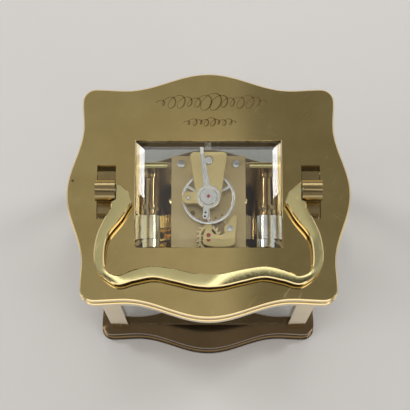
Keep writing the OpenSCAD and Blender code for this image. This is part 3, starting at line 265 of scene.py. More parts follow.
def math_node(tree, operation, a, b=None, clamp=False):
    n = tree.nodes.new("ShaderNodeMath")
    n.operation, n.use_clamp = operation, clamp
    for i, v in enumerate((a, b)):
        if isinstance(v, (int, float)):
            n.inputs[i].default_value = v
        elif v is not None:
            tree.links.new(v, n.inputs[i])
    return n.outputs[0]


def vector_node(tree, operation, a, b):
    n = tree.nodes.new("ShaderNodeVectorMath")
    n.operation = operation
    for i, v in enumerate((a, b)):
        if isinstance(v, (tuple, list)):
            n.inputs[i].default_value = v
        else:
            tree.links.new(v, n.inputs[i])
    return n.outputs["Value" if operation == "DISTANCE" else "Vector"]


def object_place(tree):
    """The place of a point in the object's own metres."""
    return tree.nodes.new("ShaderNodeTexCoord").outputs["Object"]


def object_mm(tree):
    """The same place in millimetres, so that noise scales read as features per millimetre."""
    return vector_node(tree, "MULTIPLY", object_place(tree), (1000.0, 1000.0, 1000.0))


def ramp(tree, value, low, high, to_low=0.0, to_high=1.0):
    """A value carried from low-high to to_low-to_high, smoothly and held at both ends."""
    n = tree.nodes.new("ShaderNodeMapRange")
    n.interpolation_type = "SMOOTHSTEP"
    for i, v in enumerate((low, high, to_low, to_high)):
        n.inputs[i + 1].default_value = v
    tree.links.new(value, n.inputs[0])
    return n.outputs[0]


def noise(tree, vector, scale, detail=4.0, rough=0.55):
    n = tree.nodes.new("ShaderNodeTexNoise")
    n.inputs["Scale"].default_value = scale
    n.inputs["Detail"].default_value = detail
    n.inputs["Roughness"].default_value = rough
    tree.links.new(vector, n.inputs["Vector"])
    return n.outputs["Fac"]


def blend(tree, a, b, factor):
    """Colour a going over to colour b by factor; each colour is a socket or red, green and blue."""
    n = tree.nodes.new("ShaderNodeMix")
    n.data_type = "RGBA"
    for name, colour in (("A", a), ("B", b)):
        if isinstance(colour, tuple):
            n.inputs[name].default_value = (*colour, 1.0)
        else:
            tree.links.new(colour, n.inputs[name])
    tree.links.new(factor, n.inputs["Factor"])
    return n.outputs["Result"]


def group_in(tree, group):
    """One use of a node group inside a material."""
    n = tree.nodes.new("ShaderNodeGroup")
    n.node_tree = group
    return n


def new_surface(name):
    """A new material, its node tree and its Principled node."""
    m = bpy.data.materials.new(name)
    m.use_nodes = True
    return m, m.node_tree, m.node_tree.nodes["Principled BSDF"]


print("materials are mixed by", [f.__name__ for f in (ramp, noise, blend)])


# %% The polishing grain and the marks of handling


def make_grain():
    """Noise in millimetres, drawn out along one axis by the Stretch vector, so that it reads as
    fine parallel lines."""
    g, i, o = new_group("polishing_grain", [("Stretch", "NodeSocketVector", (1, 1, 1))], ["Lines"])
    drawn = vector_node(g, "MULTIPLY", object_mm(g), i.outputs["Stretch"])
    g.links.new(noise(g, drawn, 1.0, 6.0, 0.65), o.inputs["Lines"])
    return g


def make_marks():
    """Three masks: cloudy patches from a broad noise, hair scratches where a long thin noise
    crosses its middle, and specks near the cell points of a Voronoi pattern."""
    g, i, o = new_group("handling_marks", [("Size", "NodeSocketFloat", 1.0)],
                        ["Clouds", "Scratches", "Specks"])
    sized = g.nodes.new("ShaderNodeVectorMath")
    sized.operation = "SCALE"
    g.links.new(object_mm(g), sized.inputs[0])
    g.links.new(i.outputs["Size"], sized.inputs["Scale"])
    p = sized.outputs[0]
    g.links.new(noise(g, p, 0.07, 3.0, 0.5), o.inputs["Clouds"])
    total = None
    for angle, shift in ((0.5, 3.0), (-0.9, 11.0), (2.0, 23.0)):
        turn = g.nodes.new("ShaderNodeMapping")
        turn.inputs["Rotation"].default_value = (0.0, 0.0, angle)
        turn.inputs["Location"].default_value = (shift, shift, 0.0)
        g.links.new(p, turn.inputs["Vector"])
        long = vector_node(g, "MULTIPLY", turn.outputs[0], (0.035, 1.1, 0.3))
        n = noise(g, long, 1.0, 1.5, 0.4)
        off = math_node(g, "ABSOLUTE", math_node(g, "SUBTRACT", n, 0.5))
        hair = ramp(g, off, 0.0, 0.012, 1.0, 0.0)
        patch = ramp(g, noise(g, turn.outputs[0], 0.11, 1.0), 0.55, 0.68)
        one = math_node(g, "MULTIPLY", hair, patch)
        total = one if total is None else math_node(g, "MAXIMUM", total, one)
    g.links.new(total, o.inputs["Scratches"])
    dots = g.nodes.new("ShaderNodeTexVoronoi")
    dots.feature = "F1"
    dots.inputs["Scale"].default_value = 0.16
    g.links.new(p, dots.inputs["Vector"])
    g.links.new(ramp(g, dots.outputs["Distance"], 0.012, 0.03, 1.0, 0.0), o.inputs["Specks"])
    return g


GRAIN, MARKS = make_grain(), make_marks()
print("groups", [g.name for g in bpy.data.node_groups])

# %% Metals


def metal(name, colour, dark, gloss, stretch=(0.15, 4.0, 4.0), bump=0.0002, marks=0.4):
    """A metal whose colour drifts between two tones with the clouds and whose gloss follows the
    grain; scratches and specks are lighter and duller. The bump is in millimetres."""
    m, t, bsdf = new_surface(name)
    bsdf.inputs["Metallic"].default_value = 1.0
    grain, wear = group_in(t, GRAIN), group_in(t, MARKS)
    grain.inputs["Stretch"].default_value = stretch
    seen = math_node(t, "MAXIMUM", wear.outputs["Scratches"], wear.outputs["Specks"])
    tone = blend(t, dark, colour, ramp(t, wear.outputs["Clouds"], 0.3, 0.65))
    bright = tuple(min(1.0, c * 1.5 + 0.05) for c in colour)
    marked = blend(t, tone, bright, math_node(t, "MULTIPLY", seen, 0.45 * marks))
    t.links.new(marked, bsdf.inputs["Base Color"])
    lines = ramp(t, grain.outputs["Lines"], 0.3, 0.7, *gloss)
    dull = math_node(t, "MULTIPLY", seen, 0.25 * marks)
    t.links.new(math_node(t, "ADD", lines, dull, clamp=True), bsdf.inputs["Roughness"])
    if bump:
        b = t.nodes.new("ShaderNodeBump")
        b.inputs["Strength"].default_value = 1.0
        b.inputs["Distance"].default_value = bump * MM
        t.links.new(grain.outputs["Lines"], b.inputs["Height"])
        t.links.new(b.outputs["Normal"], bsdf.inputs["Normal"])
    return m


SATIN = metal("satin_lacquered_brass", (0.60, 0.47, 0.205), (0.54, 0.415, 0.175), (0.05, 0.10),
              bump=0.0003, marks=0.5)
POLISHED = metal("polished_brass", (0.86, 0.68, 0.36), (0.80, 0.62, 0.31), (0.04, 0.09), marks=1.0)
HANDLE = metal("handle_brass", (0.77, 0.69, 0.34), (0.72, 0.64, 0.31), (0.12, 0.20), (3.0, 0.6, 3.0),
               bump=0.0004, marks=0.3)
DRUM = metal("burnished_drum", (0.92, 0.84, 0.60), (0.86, 0.78, 0.54), (0.26, 0.32), bump=0.0,
             marks=0.2)
# The handle posts are painted a darker brass than the case: painted shade for their dark heads down in the
# slots.
POST = metal("post_brass_painted_shade", (0.36, 0.28, 0.14), (0.30, 0.22, 0.10), (0.20, 0.26))
# The base is painted a very dark brown brass: painted shade and painted dark reflection in place of its
# brass.
BASE = metal("base_brass_painted_shade", (0.20, 0.135, 0.07), (0.165, 0.11, 0.055), (0.04, 0.10))
# The movement's plates, dial mask, barrel, pillars and the escape sink are painted a darker brass than the
# case: painted shade for parts inside the case and down in the platform.
INNER = metal("inner_brass_painted_shade", (0.40, 0.29, 0.14), (0.32, 0.22, 0.10), (0.12, 0.2), bump=0.0005)
GILT = metal("matt_gilt", (0.47, 0.365, 0.19), (0.43, 0.33, 0.16), (0.38, 0.46), (3.0, 3.0, 3.0),
             bump=0.002, marks=0.3)
COCK = metal("cock_gilt", (0.64, 0.51, 0.235), (0.59, 0.46, 0.21), (0.30, 0.38), (0.4, 5.0, 5.0),
             bump=0.001, marks=0.3)
WHEEL = metal("wheel_brass", (0.84, 0.68, 0.36), (0.76, 0.60, 0.30), (0.16, 0.26), (5.0, 0.5, 5.0),
              bump=0.001)
STEEL = metal("polished_steel", (0.80, 0.79, 0.76), (0.74, 0.73, 0.70), (0.22, 0.28), (4.0, 0.4, 4.0))
TURNED = metal("turned_steel", (0.60, 0.60, 0.58), (0.50, 0.50, 0.48), (0.20, 0.32), (6.0, 6.0, 1.0),
               bump=0.001, marks=0.3)
BLUED = metal("blued_steel", (0.07, 0.10, 0.26), (0.05, 0.07, 0.17), (0.14, 0.24), bump=0.0005)
# One dark brass for every cut, sink and hole that is not really cut: painted shade on a flat strip or disc.
PAINTED_GROOVE_SHADE = metal("painted_cut_shade", (0.24, 0.16, 0.065), (0.17, 0.11, 0.045), (0.35, 0.5), bump=0.02,
                    marks=0.0)


def stain(material, x, y, size):
    """A small dark spot of tarnish: the metal's colour goes over to brown within a ragged
    distance, in millimetres, of one point of the top plate."""
    t = material.node_tree
    base_colour = t.nodes["Principled BSDF"].inputs["Base Color"]
    clean = base_colour.links[0].from_socket
    place = object_place(t)
    far = vector_node(t, "DISTANCE", place, (x * MM, y * MM, TOP_Z * MM))
    ragged = math_node(t, "ADD", math_node(t, "MULTIPLY", far, 1000.0),
                       math_node(t, "MULTIPLY", noise(t, place, 1500.0), 0.5))
    near = ramp(t, ragged, size, size + 0.4, 0.85, 0.0)
    t.links.new(blend(t, clean, (0.08, 0.05, 0.03), near), base_colour)


stain(SATIN, -45.6, 4.4, 0.45)
print("metals", len(bpy.data.materials))

# %% [markdown]
# ## Glass, enamel and stone
# The panes are plain clear glass with a breath of green at their edges. Light that crosses
# a pane on its way to the movement is let through directly, which real panes also do
# almost without loss. The dial is fired enamel and the bearing stones are ruby.

# %% Glass and stone


def glass(name, tint, smear):
    """Clear glass whose gloss is broken only by faint finger smears; shadow rays pass straight through."""
    m, t, bsdf = new_surface(name)
    bsdf.inputs["Base Color"].default_value = (*tint, 1.0)
    bsdf.inputs["Transmission Weight"].default_value = 1.0
    bsdf.inputs["IOR"].default_value = 1.5
    wear = group_in(t, MARKS)
    wear.inputs["Size"].default_value = 2.0
    t.links.new(ramp(t, wear.outputs["Clouds"], 0.5, 0.8, 0.0, smear), bsdf.inputs["Roughness"])
    clear = t.nodes.new("ShaderNodeBsdfTransparent")
    clear.inputs["Color"].default_value = (0.93, 0.95, 0.94, 1.0)
    path = t.nodes.new("ShaderNodeLightPath")
    mixer = t.nodes.new("ShaderNodeMixShader")
    passes = math_node(t, "MAXIMUM", path.outputs["Is Shadow Ray"], path.outputs["Is Diffuse Ray"])
    t.links.new(passes, mixer.inputs[0])
    t.links.new(bsdf.outputs[0], mixer.inputs[1])
    t.links.new(clear.outputs[0], mixer.inputs[2])
    t.links.new(mixer.outputs[0], t.nodes["Material Output"].inputs["Surface"])
    return m


def stone(name, colour, deep, gloss, scale, coat=0.6):
    """A plain solid, glazed where coat is set, whose colour and gloss drift with one noise."""
    m, t, bsdf = new_surface(name)
    bsdf.inputs["Coat Weight"].default_value = coat
    bsdf.inputs["Coat Roughness"].default_value = 0.05
    n = noise(t, object_place(t), scale, 3.0)
    t.links.new(blend(t, deep, colour, ramp(t, n, 0.3, 0.7)), bsdf.inputs["Base Color"])
    t.links.new(ramp(t, n, 0.2, 0.8, *gloss), bsdf.inputs["Roughness"])
    return m


CLEAR = glass("bevelled_glass", (0.97, 0.985, 0.98), 0.02)
PANE = glass("pane_glass", (0.88, 0.95, 0.93), 0.02)
RUBY = stone("ruby", (0.42, 0.03, 0.07), (0.22, 0.01, 0.03), (0.08, 0.15), 4000.0)
ENAMEL = stone("dial_enamel", (0.86, 0.85, 0.81), (0.80, 0.79, 0.75), (0.12, 0.2), 60.0)
PAINT = stone("dial_paint", (0.015, 0.015, 0.018), (0.01, 0.01, 0.012), (0.25, 0.35), 900.0)
print("glass", CLEAR.name, PANE.name, "and", len(bpy.data.materials), "materials so far")

# %% [markdown]
# ## The base
# The base is cast in one: a flat foot, a step up into a hollow neck and a lip that carries
# the pillars. Its profile is carried round the outline, and below it runs in to the
# recessed underside.

# %% Base moulding


def moulding(profile):
    """A profile of (outward, height) pairs carried round the serpentine outline, one loop for each pair."""
    return np.stack([outline(out, z) for out, z in profile])


def base_profile():
    """Foot with rounded edges, a quarter-round step, a hollow neck and a rounded lip, from the floor up."""
    a = np.linspace(0, np.pi / 2, 7)
    foot = [(-0.5, 0.0), (-0.15, 0.12), (0.0, 0.5), (0.0, 2.6)]
    ogee = [(-1.4 * math.sin(t), 4.0 - 1.4 * math.cos(t)) for t in a]
    neck = [(-1.4 - 0.5 * math.sin(math.pi * s), 4.0 + 6.6 * s) for s in np.linspace(0, 1, 9)[1:]]
    lip = [(-0.7 - 0.7 * math.cos(t), 10.6 + 0.7 * math.sin(t)) for t in a[1:]]
    return foot + ogee + neck + lip + [(-0.7, 13.2), (-0.82, 13.75), (-1.2, BASE_H)]


CAVITY_X, CAVITY_Y, CAVITY_TOP = 35.6, 29.3, 10.0
COVER_X, COVER_Y, COVER_T = 37.2, 30.9, 2.2
under = [oblong(CAVITY_X, CAVITY_Y, CAVITY_TOP), oblong(CAVITY_X, CAVITY_Y, COVER_T),
         oblong(COVER_X, COVER_Y, COVER_T), oblong(COVER_X, COVER_Y, 0.0),
         oblong(COVER_X + 0.1, COVER_Y + 0.1, 0.0)]
base_rings = np.concatenate([np.stack(under), moulding(base_profile())])
# The base's very dark colour is painted shade.
piece("base_shell", capped(base_rings), [BASE], replaces=["base_moulding"])

# %% [markdown]
# ## The frame under the top plate
# The frame stands a little proud of the plate, so that from above it shows as a bright
# line all round. Both of its edges are lightly chamfered.

# %% Top frame
FRAME_OPEN_X, FRAME_OPEN_Y = 30.0, 25.9
EASE, GAP_BACK, GAP_DEEP = 0.3, -0.6, 0.35
frame_rings = np.stack([
    oblong(FRAME_OPEN_X, FRAME_OPEN_Y, FRAME_Z), oblong(FRAME_OPEN_X, FRAME_OPEN_Y, PLATE_Z),
    outline(GAP_BACK, PLATE_Z), outline(GAP_BACK, PLATE_Z - GAP_DEEP),
    outline(PROUD - EASE, PLATE_Z - GAP_DEEP), outline(PROUD, PLATE_Z - 0.6),
    outline(PROUD, FRAME_Z + EASE), outline(PROUD - EASE, FRAME_Z)])
piece("frame_ring", [grid(frame_rings, close_rows=True, close_cols=True)], [POLISHED],
      replaces=["top_frame"])

# %% [markdown]
# ## The top plate
# One thick plate with a chamfered serpentine edge, an opening for the glass and a slot for
# each handle post. The rings run from the window out to the edge and back underneath. Two
# of them are laid exactly along the slots, so a slot is simply a block of cells left out
# of the grid, with walls let down round it.

# %% Top plate
EDGE_LINE, LOWER_EDGE = 0.14, 0.25
REBATE_X, REBATE_Y, REBATE_Z = WINDOW_X + 1.2, WINDOW_Y + 1.2, 104.55
INNER_Y, OUTER_Y = 24.0, 29.0
plate_rings = np.stack([
    oblong(REBATE_X, REBATE_Y, PLATE_Z), oblong(REBATE_X, REBATE_Y, REBATE_Z),
    oblong(WINDOW_X, WINDOW_Y, REBATE_Z), oblong(WINDOW_X, WINDOW_Y, TOP_Z - EDGE_LINE),
    oblong(WINDOW_X + EDGE_LINE, WINDOW_Y + 0.09, TOP_Z),
    oblong(SLOT_X0, INNER_Y, TOP_Z), oblong(SLOT_X1, OUTER_Y, TOP_Z), outline(-CHAMFER, TOP_Z),
    outline(0, TOP_Z - CHAMFER), outline(0, PLATE_Z + LOWER_EDGE), outline(-LOWER_EDGE, PLATE_Z),
    oblong(SLOT_X1, OUTER_Y, PLATE_Z), oblong(SLOT_X0, INNER_Y, PLATE_Z)])
ON_TOP, BELOW = 5, 11
FACE_ROWS, EDGE_ROWS = [4, 5, 6], [3, 7]


def slot_cells(shape):
    """True for the cells of the slots, between the two rings that are laid along them."""
    skip = np.zeros(shape, bool)
    left = LEFT_0 + SIDE_COUNT - 1
    for row in (ON_TOP, BELOW):
        skip[row, RIGHT_0 + SLOT_FIRST:RIGHT_0 + SLOT_LAST] = True
        skip[row, left - SLOT_LAST:left - SLOT_FIRST] = True
    return skip


def slot_wall(side):
    """The four walls of a slot: its rectangle carried straight down through the plate."""
    y = stations(INNER_Y)[SLOT_FIRST:SLOT_LAST + 1]
    far, near = np.full(len(y), side * SLOT_X1), np.full(len(y), side * SLOT_X0)
    loop = np.vstack([np.stack([far, y], 1), np.stack([near, y[::-1]], 1)])
    both = np.stack([np.column_stack([loop, np.full(len(loop), z)]) for z in (TOP_Z, PLATE_Z)])
    return grid(both, close_cols=True)


slots = slot_cells(plate_rings.shape[:2])
ring_number = np.arange(len(plate_rings))[:, None] * np.ones(plate_rings.shape[1], int)


def rows_only(wanted):
    """Everything to leave out of the plate's grid so that only the wanted rows of cells stay."""
    return slots | ~np.isin(ring_number, wanted)


other_rows = [n for n in range(len(plate_rings)) if n not in FACE_ROWS + EDGE_ROWS]
plate_parts = [grid(plate_rings, True, True, rows_only(rows)) for rows in (FACE_ROWS, EDGE_ROWS, other_rows)]
piece("plate_top", plate_parts + [slot_wall(1), slot_wall(-1)], [SATIN, POLISHED],
      replaces=["top_plate"], zones=[0, 1, 1, 1, 1], sharp=20)

# %% [markdown]
# ## The engraving
# Presentation clocks often carry pen flourishes cut into the plate. Here they are plain
# scrollwork: one row of loops that swells towards its middle, above a shorter one. Each is
# a thin ribbon laid on the plate, wider where the graver runs down and narrow where it runs up;
# its dark colour is painted shade standing in for the cut.

# %% Scrollwork


def flourish(width, height, loops, cx, cy, lean):
    """A row of loops: the pen moves steadily along while it circles, the circle grows and
    shrinks as one arch, and lean slants the loops. The ribbon widens on every downstroke."""
    t = np.linspace(-1, 1, 1201)
    swing = np.sqrt(np.clip(1 - t * t, 0, 1)) * (0.75 + 0.25 * np.cos(3 * np.pi * t))
    turn = np.pi * loops * t
    y = height / 2 * swing * np.cos(turn)
    x = width / 2 * t + height * 0.42 * swing * np.sin(turn) + lean * y
    line = np.stack([cx + x, cy + y], 1)
    step = np.gradient(line, axis=0)
    long = np.linalg.norm(step, axis=1, keepdims=True) + 1e-9
    across = np.stack([-step[:, 1], step[:, 0]], 1) / long
    down = np.clip(-step[:, 1:] / long, 0, 1)
    half = (0.10 + 0.16 * down) * np.clip((1 - np.abs(t[:, None])) * 30, 0.15, 1)
    both = np.stack([line - across * half, line + across * half], 1)
    return grid(np.concatenate([both, np.full(both.shape[:2] + (1,), TOP_Z + INK_LIFT)], 2))


INK_LIFT, LEAN = 0.012, 0.35
# The ribbons' dark colour is painted shade of the engraved cuts.
piece("scrollwork", [flourish(38.0, 6.2, 13, 1.0, 31.9, LEAN), flourish(18.0, 3.2, 9, 0.5, 24.8, LEAN)],
      [PAINTED_GROOVE_SHADE])

# %% [markdown]
# ## The handle
# A flat bail is cut from thick brass, so it has a flat face and fine bright chamfers rather
# than a round section. Two smooth rails, the outer and the inner edge, are drawn through a
# few points each, and the section is carried along between them.

# %% Handle


def smooth_curve(points, steps):
    """A curve through the points (Catmull-Rom): between two points it is the cubic whose slope
    at each of them is half the chord between its neighbours."""
    p = np.asarray(points, float)
    q = np.vstack([p[:1], p, p[-1:]])
    a, b, c, d = q[:-3, None], q[1:-2, None], q[2:-1, None], q[3:, None]
    u = np.linspace(0, 1, steps, endpoint=False)[None, :, None]
    curve = (2 * b + (c - a) * u + (2 * a - 5 * b + 4 * c - d) * u**2 + (3 * b - a - 3 * c + d) * u**3) / 2
    return np.vstack([curve.reshape(-1, 2), p[-1:]])


LOBE_X = 30.8
ARM_INNER = [(25.3, -4.0), (28.9, -9.7), (33.1, -15.3), (34.3, -21.4), (33.5, -26.8), (29.6, -28.7),
             (24.5, -26.8), (18.6, -25.6), (11.4, -26.5), (5, -27.9), (0, -28.4)]
ARM_OUTER = [(32.3, -6.2), (34.4, -9.7), (36.9, -15.7), (37.7, -22.4), (36.3, -27.4), (30.4, -31.6),
             (24.4, -30.4), (18.1, -29.3), (11.4, -30.6), (5, -32.1), (0, -32.6)]
LOBE_OUTER = [(LOBE_X, y) for y in (2.7, 1.2, -1.2, -3.2, -4.3)] + [(32.3, -4.3), (32.3, -5.2)]
LOBE_INNER = [(LOBE_X, 2.7), (30.2, 2.45), (29.3, 1.9), (28.5, 1.25), (27.5, 0.3), (26.5, -0.9),
              (25.8, -2.4)]
HANDLE_LOW, HANDLE_HIGH, LINE = PIVOT_Z - 1.8, PIVOT_Z + 1.8, 0.38


def rails():
    """The outer and the inner edge of the whole handle, from the left tip round to the right tip."""
    outer = np.vstack([LOBE_OUTER, smooth_curve(ARM_OUTER, 10)])
    inner = np.vstack([LOBE_INNER, smooth_curve(ARM_INNER, 10)])
    flip = np.array([-1.0, 1.0])
    return [np.vstack([r * flip, r[-2::-1]]) for r in (outer, inner)]


def step(value, at, width):
    """A logistic step: 0 well below at, 1 well above it, over a few widths."""
    return 1 / (1 + np.exp(-(value - at) / width))


def leaning(x, y):
    """How far the upper face leans toward the front, from 0 to 1: smooth steps turn it over on
    the right half of the bar and at the left bend."""
    return np.maximum(step(x, 2.5, 2.0), step(-x, 29.5, 1.5)) * step(-y, 19.5, 1.8)


def twisting(x, y):
    """How far the right arm's upper face is twisted toward the middle, from 0 to 1: fully
    behind the bend, not at all on the bar."""
    return step(x, 12.0, 2.0) * step(y, -19.0, 1.8)


def handle_surface():
    """At each station the section is a ring across the bar: a straight edge and a chamfer on
    each side, a flat lower face, and an upper face that is crowned by a square of the distance
    from its middle and lowered in proportion along one edge where it leans or twists."""
    outer, inner = rails()
    gap = np.linalg.norm(inner - outer, axis=1)
    cut = np.clip(LINE / np.maximum(gap, 1e-6), 0, 0.45)[:, None]
    o2, i2 = outer + (inner - outer) * cut, inner + (outer - inner) * cut
    drop = np.minimum(LINE, gap * 0.4)[:, None]
    one = np.ones((len(outer), 1))
    across = np.linspace(0, 1, 9)
    lean = leaning(outer[:, :1], outer[:, 1:]) * LEAN_SLOPE * gap[:, None]
    twist = twisting(outer[:, :1], outer[:, 1:]) * TWIST_SLOPE * gap[:, None]
    falls = [CROWN * (u - 0.5) ** 2 * one + lean * (1 - u) + twist * u for u in across]
    face = [np.hstack([o2 + (i2 - o2) * u, HANDLE_HIGH - d]) for u, d in zip(across, falls)]
    outer_edge = [(outer, HANDLE_LOW + drop), (outer, HANDLE_HIGH - drop - falls[0])]
    inner_edge = [(inner, HANDLE_HIGH - drop - falls[-1]), (inner, HANDLE_LOW + drop)]
    under_face = [(i2, HANDLE_LOW * one), (o2, HANDLE_LOW * one)]
    return np.stack([np.hstack(p) for p in outer_edge] + face
                    + [np.hstack(p) for p in inner_edge + under_face], 1)


LEAN_SLOPE, TWIST_SLOPE, CROWN = 0.12, 0.04, 0.13
section = handle_surface()
face_cols = np.zeros(section.shape[:2], bool)
face_cols[:, 2:10] = True
piece("bail", [grid(section, close_cols=True, skip=~face_cols),
               grid(section, close_cols=True, skip=face_cols)],
      [HANDLE, POLISHED], body="handle", replaces=["handle"], zones=[0, 1], sharp=25)

# %% [markdown]
# ## The bevelled top glass
# The thick top pane drops into the plate on a lip and is cut with a wide flat bevel all
# round. The bevel is a thin prism, so it shows the movement a second time along its edge;
# that only works if its facets stay perfectly flat and meet in sharp lines.

# %% Top glass
PANE_X, PANE_Y, PANE_LOW, LIP_Z = 25.65, 19.45, 102.05, 104.4
NECK_X, NECK_Y, FLAT_X, FLAT_Y = 24.45, 18.25, 21.6, 15.4
pane_rings = np.stack([
    oblong(PANE_X - 0.05, PANE_Y - 0.05, PANE_LOW), oblong(PANE_X, PANE_Y, PANE_LOW + 0.05),
    oblong(PANE_X, PANE_Y, LIP_Z), oblong(NECK_X, NECK_Y, LIP_Z), oblong(NECK_X, NECK_Y, 105.1),
    oblong(FLAT_X, FLAT_Y, 106.2)])
piece("bevelled_pane", capped(pane_rings), [CLEAR], replaces=["top_glass"], sharp=8)

# %% [markdown]
# ## Soft edges for the made pieces
# Nothing turned or sawn from metal keeps a knife edge. The pieces that already have their
# right shape keep it, and get only a merged mesh, a narrow bevel and smooth shading.

# %% Narrow bevels


def make_smooth_group():
    """Shades every face smooth and keeps the edges that turn by more than 32 degrees sharp."""
    g = bpy.data.node_groups.new("smooth_by_angle", "GeometryNodeTree")
    g.interface.new_socket("Geometry", in_out="INPUT", socket_type="NodeSocketGeometry")
    g.interface.new_socket("Geometry", in_out="OUTPUT", socket_type="NodeSocketGeometry")
    i, o = g.nodes.new("NodeGroupInput"), g.nodes.new("NodeGroupOutput")
    faces, edges = g.nodes.new("GeometryNodeSetShadeSmooth"), g.nodes.new("GeometryNodeSetShadeSmooth")
    faces.domain, edges.domain = "FACE", "EDGE"
    edges.inputs["Shade Smooth"].default_value = False
    angle = g.nodes.new("GeometryNodeInputMeshEdgeAngle")
    over = g.nodes.new("FunctionNodeCompare")
    over.data_type, over.operation = "FLOAT", "GREATER_THAN"
    over.inputs["B"].default_value = math.radians(32)
    g.links.new(angle.outputs["Unsigned Angle"], over.inputs["A"])
    g.links.new(i.outputs[0], faces.inputs["Geometry"])
    g.links.new(faces.outputs[0], edges.inputs["Geometry"])
    g.links.new(over.outputs["Result"], edges.inputs["Selection"])
    g.links.new(edges.outputs[0], o.inputs[0])
    return g


SMOOTH = make_smooth_group()


def dress(node, material, bevel=0.0):
    """Gives a node its material, merged points and smooth shading; where bevel is set, also a
    bevel of that width in millimetres whose flat faces stay flat."""
    obj = NODES[node]
    obj.data.materials.clear()
    obj.data.materials.append(material)
    weld = obj.modifiers.new("merge", "WELD")
    weld.merge_threshold = 1e-6
    if bevel:
        b = obj.modifiers.new("edge", "BEVEL")
        b.width, b.segments, b.limit_method = bevel * MM, 2, "ANGLE"
        b.angle_limit = math.radians(40)
        b.use_clamp_overlap = True
    obj.modifiers.new("shading", "NODES").node_group = SMOOTH
    if bevel:
        flat = obj.modifiers.new("flat_faces", "WEIGHTED_NORMAL")
        flat.keep_sharp, flat.weight = True, 100


DRESSED = [
    (POLISHED, 0.35, ["pillar_front_left", "pillar_front_right", "pillar_rear_left", "pillar_rear_right"]),
    (POLISHED, 0.3, ["door_frame"]), (POLISHED, 0.25, ["door_knob"]),
    (POLISHED, 0.0, ["hand_collet", "third_wheel"]),
    (POST, 0.3, ["handle_post_left", "handle_post_right"]),
    (TURNED, 0.08, ["handle_pins", "door_hinge_pins", "bottom_cover_screws", "pillar_screws", "top_screws",
                    "movement_screws", "click_screws", "platform_screws"]),
    (GILT, 0.15, ["bottom_cover"]), (GILT, 0.0, ["platform_plate"]),
    (INNER, 0.12, ["front_plate", "back_plate", "dial_mask", "barrel", "barrel_cap"]),
    (INNER, 0.1, ["movement_pillars"]),
    (COCK, 0.18, ["balance_cock", "escape_cock"]),
    (WHEEL, 0.0, ["centre_wheel", "contrate_wheel", "minute_wheel", "hour_wheel", "escape_wheel"]),
    (STEEL, 0.08, ["balance_wheel"]),
    (STEEL, 0.05, ["regulator_index", "endstone_cap", "click"]),
    (STEEL, 0.0, ["barrel_arbor", "ratchet_wheel", "centre_arbor", "third_arbor", "contrate_arbor",
                  "cannon_pinion", "balance_staff", "pallet_lever"]),
    (BLUED, 0.0, ["click_spring", "mainspring", "hairspring", "hour_hand", "minute_hand"]),
    (ENAMEL, 0.15, ["dial"]),
    (PANE, 0.0, ["side_glass_left", "side_glass_right", "front_glass", "door_glass"]),
]
for material, width, nodes in DRESSED:
    for node in nodes:
        dress(node, material, width)
print("dressed", sum(len(o.modifiers) > 0 for o in NODES.values()), "nodes")

# %% [markdown]
# ## The balance cock and its index
# The cock is a flat tongue of gilt brass, broad and round-cornered at its foot, round over
# the balance. A ring-shaped steel index clips round its end stone: a long leaning finger on
# one side, a short drilled tail on the other. Each is drawn as two edges that run along it,
# joined by a section with small chamfers.

# %% Cock and index


def tongue(left, right, low, high, cut=0.18):
    """A flat bar between two edges of equal count, closed at both ends: at each station a
    section of six points, with both upper corners cut off by cut."""
    gap = np.linalg.norm(right - left, axis=1)[:, None]
    inset = np.minimum(cut, gap * 0.3) / np.maximum(gap, 1e-6)
    l2, r2 = left + (right - left) * inset, right + (left - right) * inset
    one = np.ones((len(left), 1))
    ring = np.stack([np.hstack([left, low * one]), np.hstack([left, (high - cut) * one]),
                     np.hstack([l2, high * one]), np.hstack([r2, high * one]),
                     np.hstack([right, (high - cut) * one]), np.hstack([right, low * one])], 1)
    return capped(ring)


def cock_edges():
    """Rows of (half width, y): a quarter circle at the foot, a straight taper, then the circle
    of the round end."""
    t = np.linspace(0, np.pi / 2, 9)
    foot = np.stack([4.8 + 1.6 * np.sin(t), 14.0 + 1.6 * np.cos(t)], 1)
    a = np.radians(np.linspace(-8, 88, 25))
    rows = np.vstack([foot, np.stack([4.3 * np.cos(a), -4.3 * np.sin(a)], 1)])
    return rows * [-1, 1], rows


def heights(node):
    """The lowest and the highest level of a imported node, in millimetres."""
    low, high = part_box(node)
    return low.z / MM, high.z / MM


COCK_LOW, COCK_TOP = heights("balance_cock")
ESC_LOW, ESC_TOP = heights("escape_cock")
CAP_LOW, CAP_TOP = heights("endstone_cap")
INDEX_LOW, INDEX_HIGH = heights("regulator_index")
STUD_Y, STUD_LOW, COCK_T, ESC_T = -0.3, 99.65, 1.2, 0.45
stud_rows = np.linspace(-3.2, -8.9, 12)
stud_half = 2.1 * np.sqrt(np.clip(1 - np.clip((-stud_rows - 7.6) / 1.4, 0, 1) ** 2, 0.12, 1))
stud = tongue(np.stack([stud_rows, STUD_Y - stud_half], 1), np.stack([stud_rows, STUD_Y + stud_half], 1),
              STUD_LOW, COCK_TOP - 0.02)
print("cock between", round(COCK_LOW, 2), "and", round(COCK_TOP, 2))


def bar_between(p, q, w0, w1, low, high, round_end=False):
    """A straight bar from p to q whose width runs evenly from w0 to w1, with a round far end
    where wanted: there the half width follows a circle."""
    p, q = np.array(p, float), np.array(q, float)
    length = np.linalg.norm(q - p)
    u = (q - p) / length
    side = np.array([-u[1], u[0]])
    s = 1 - np.linspace(1, 0, 25) ** 2
    half = (w0 + (w1 - w0) * s) / 2
    if round_end:
        past = np.clip((s * length - (length - w1 / 2)) / (w1 / 2), 0, 1)
        half = half * np.sqrt(np.clip(1 - past**2, 0.02, 1))
    line = p + u * (s * length)[:, None]
    return tongue(line + side * half[:, None], line - side * half[:, None], low, high, 0.08)


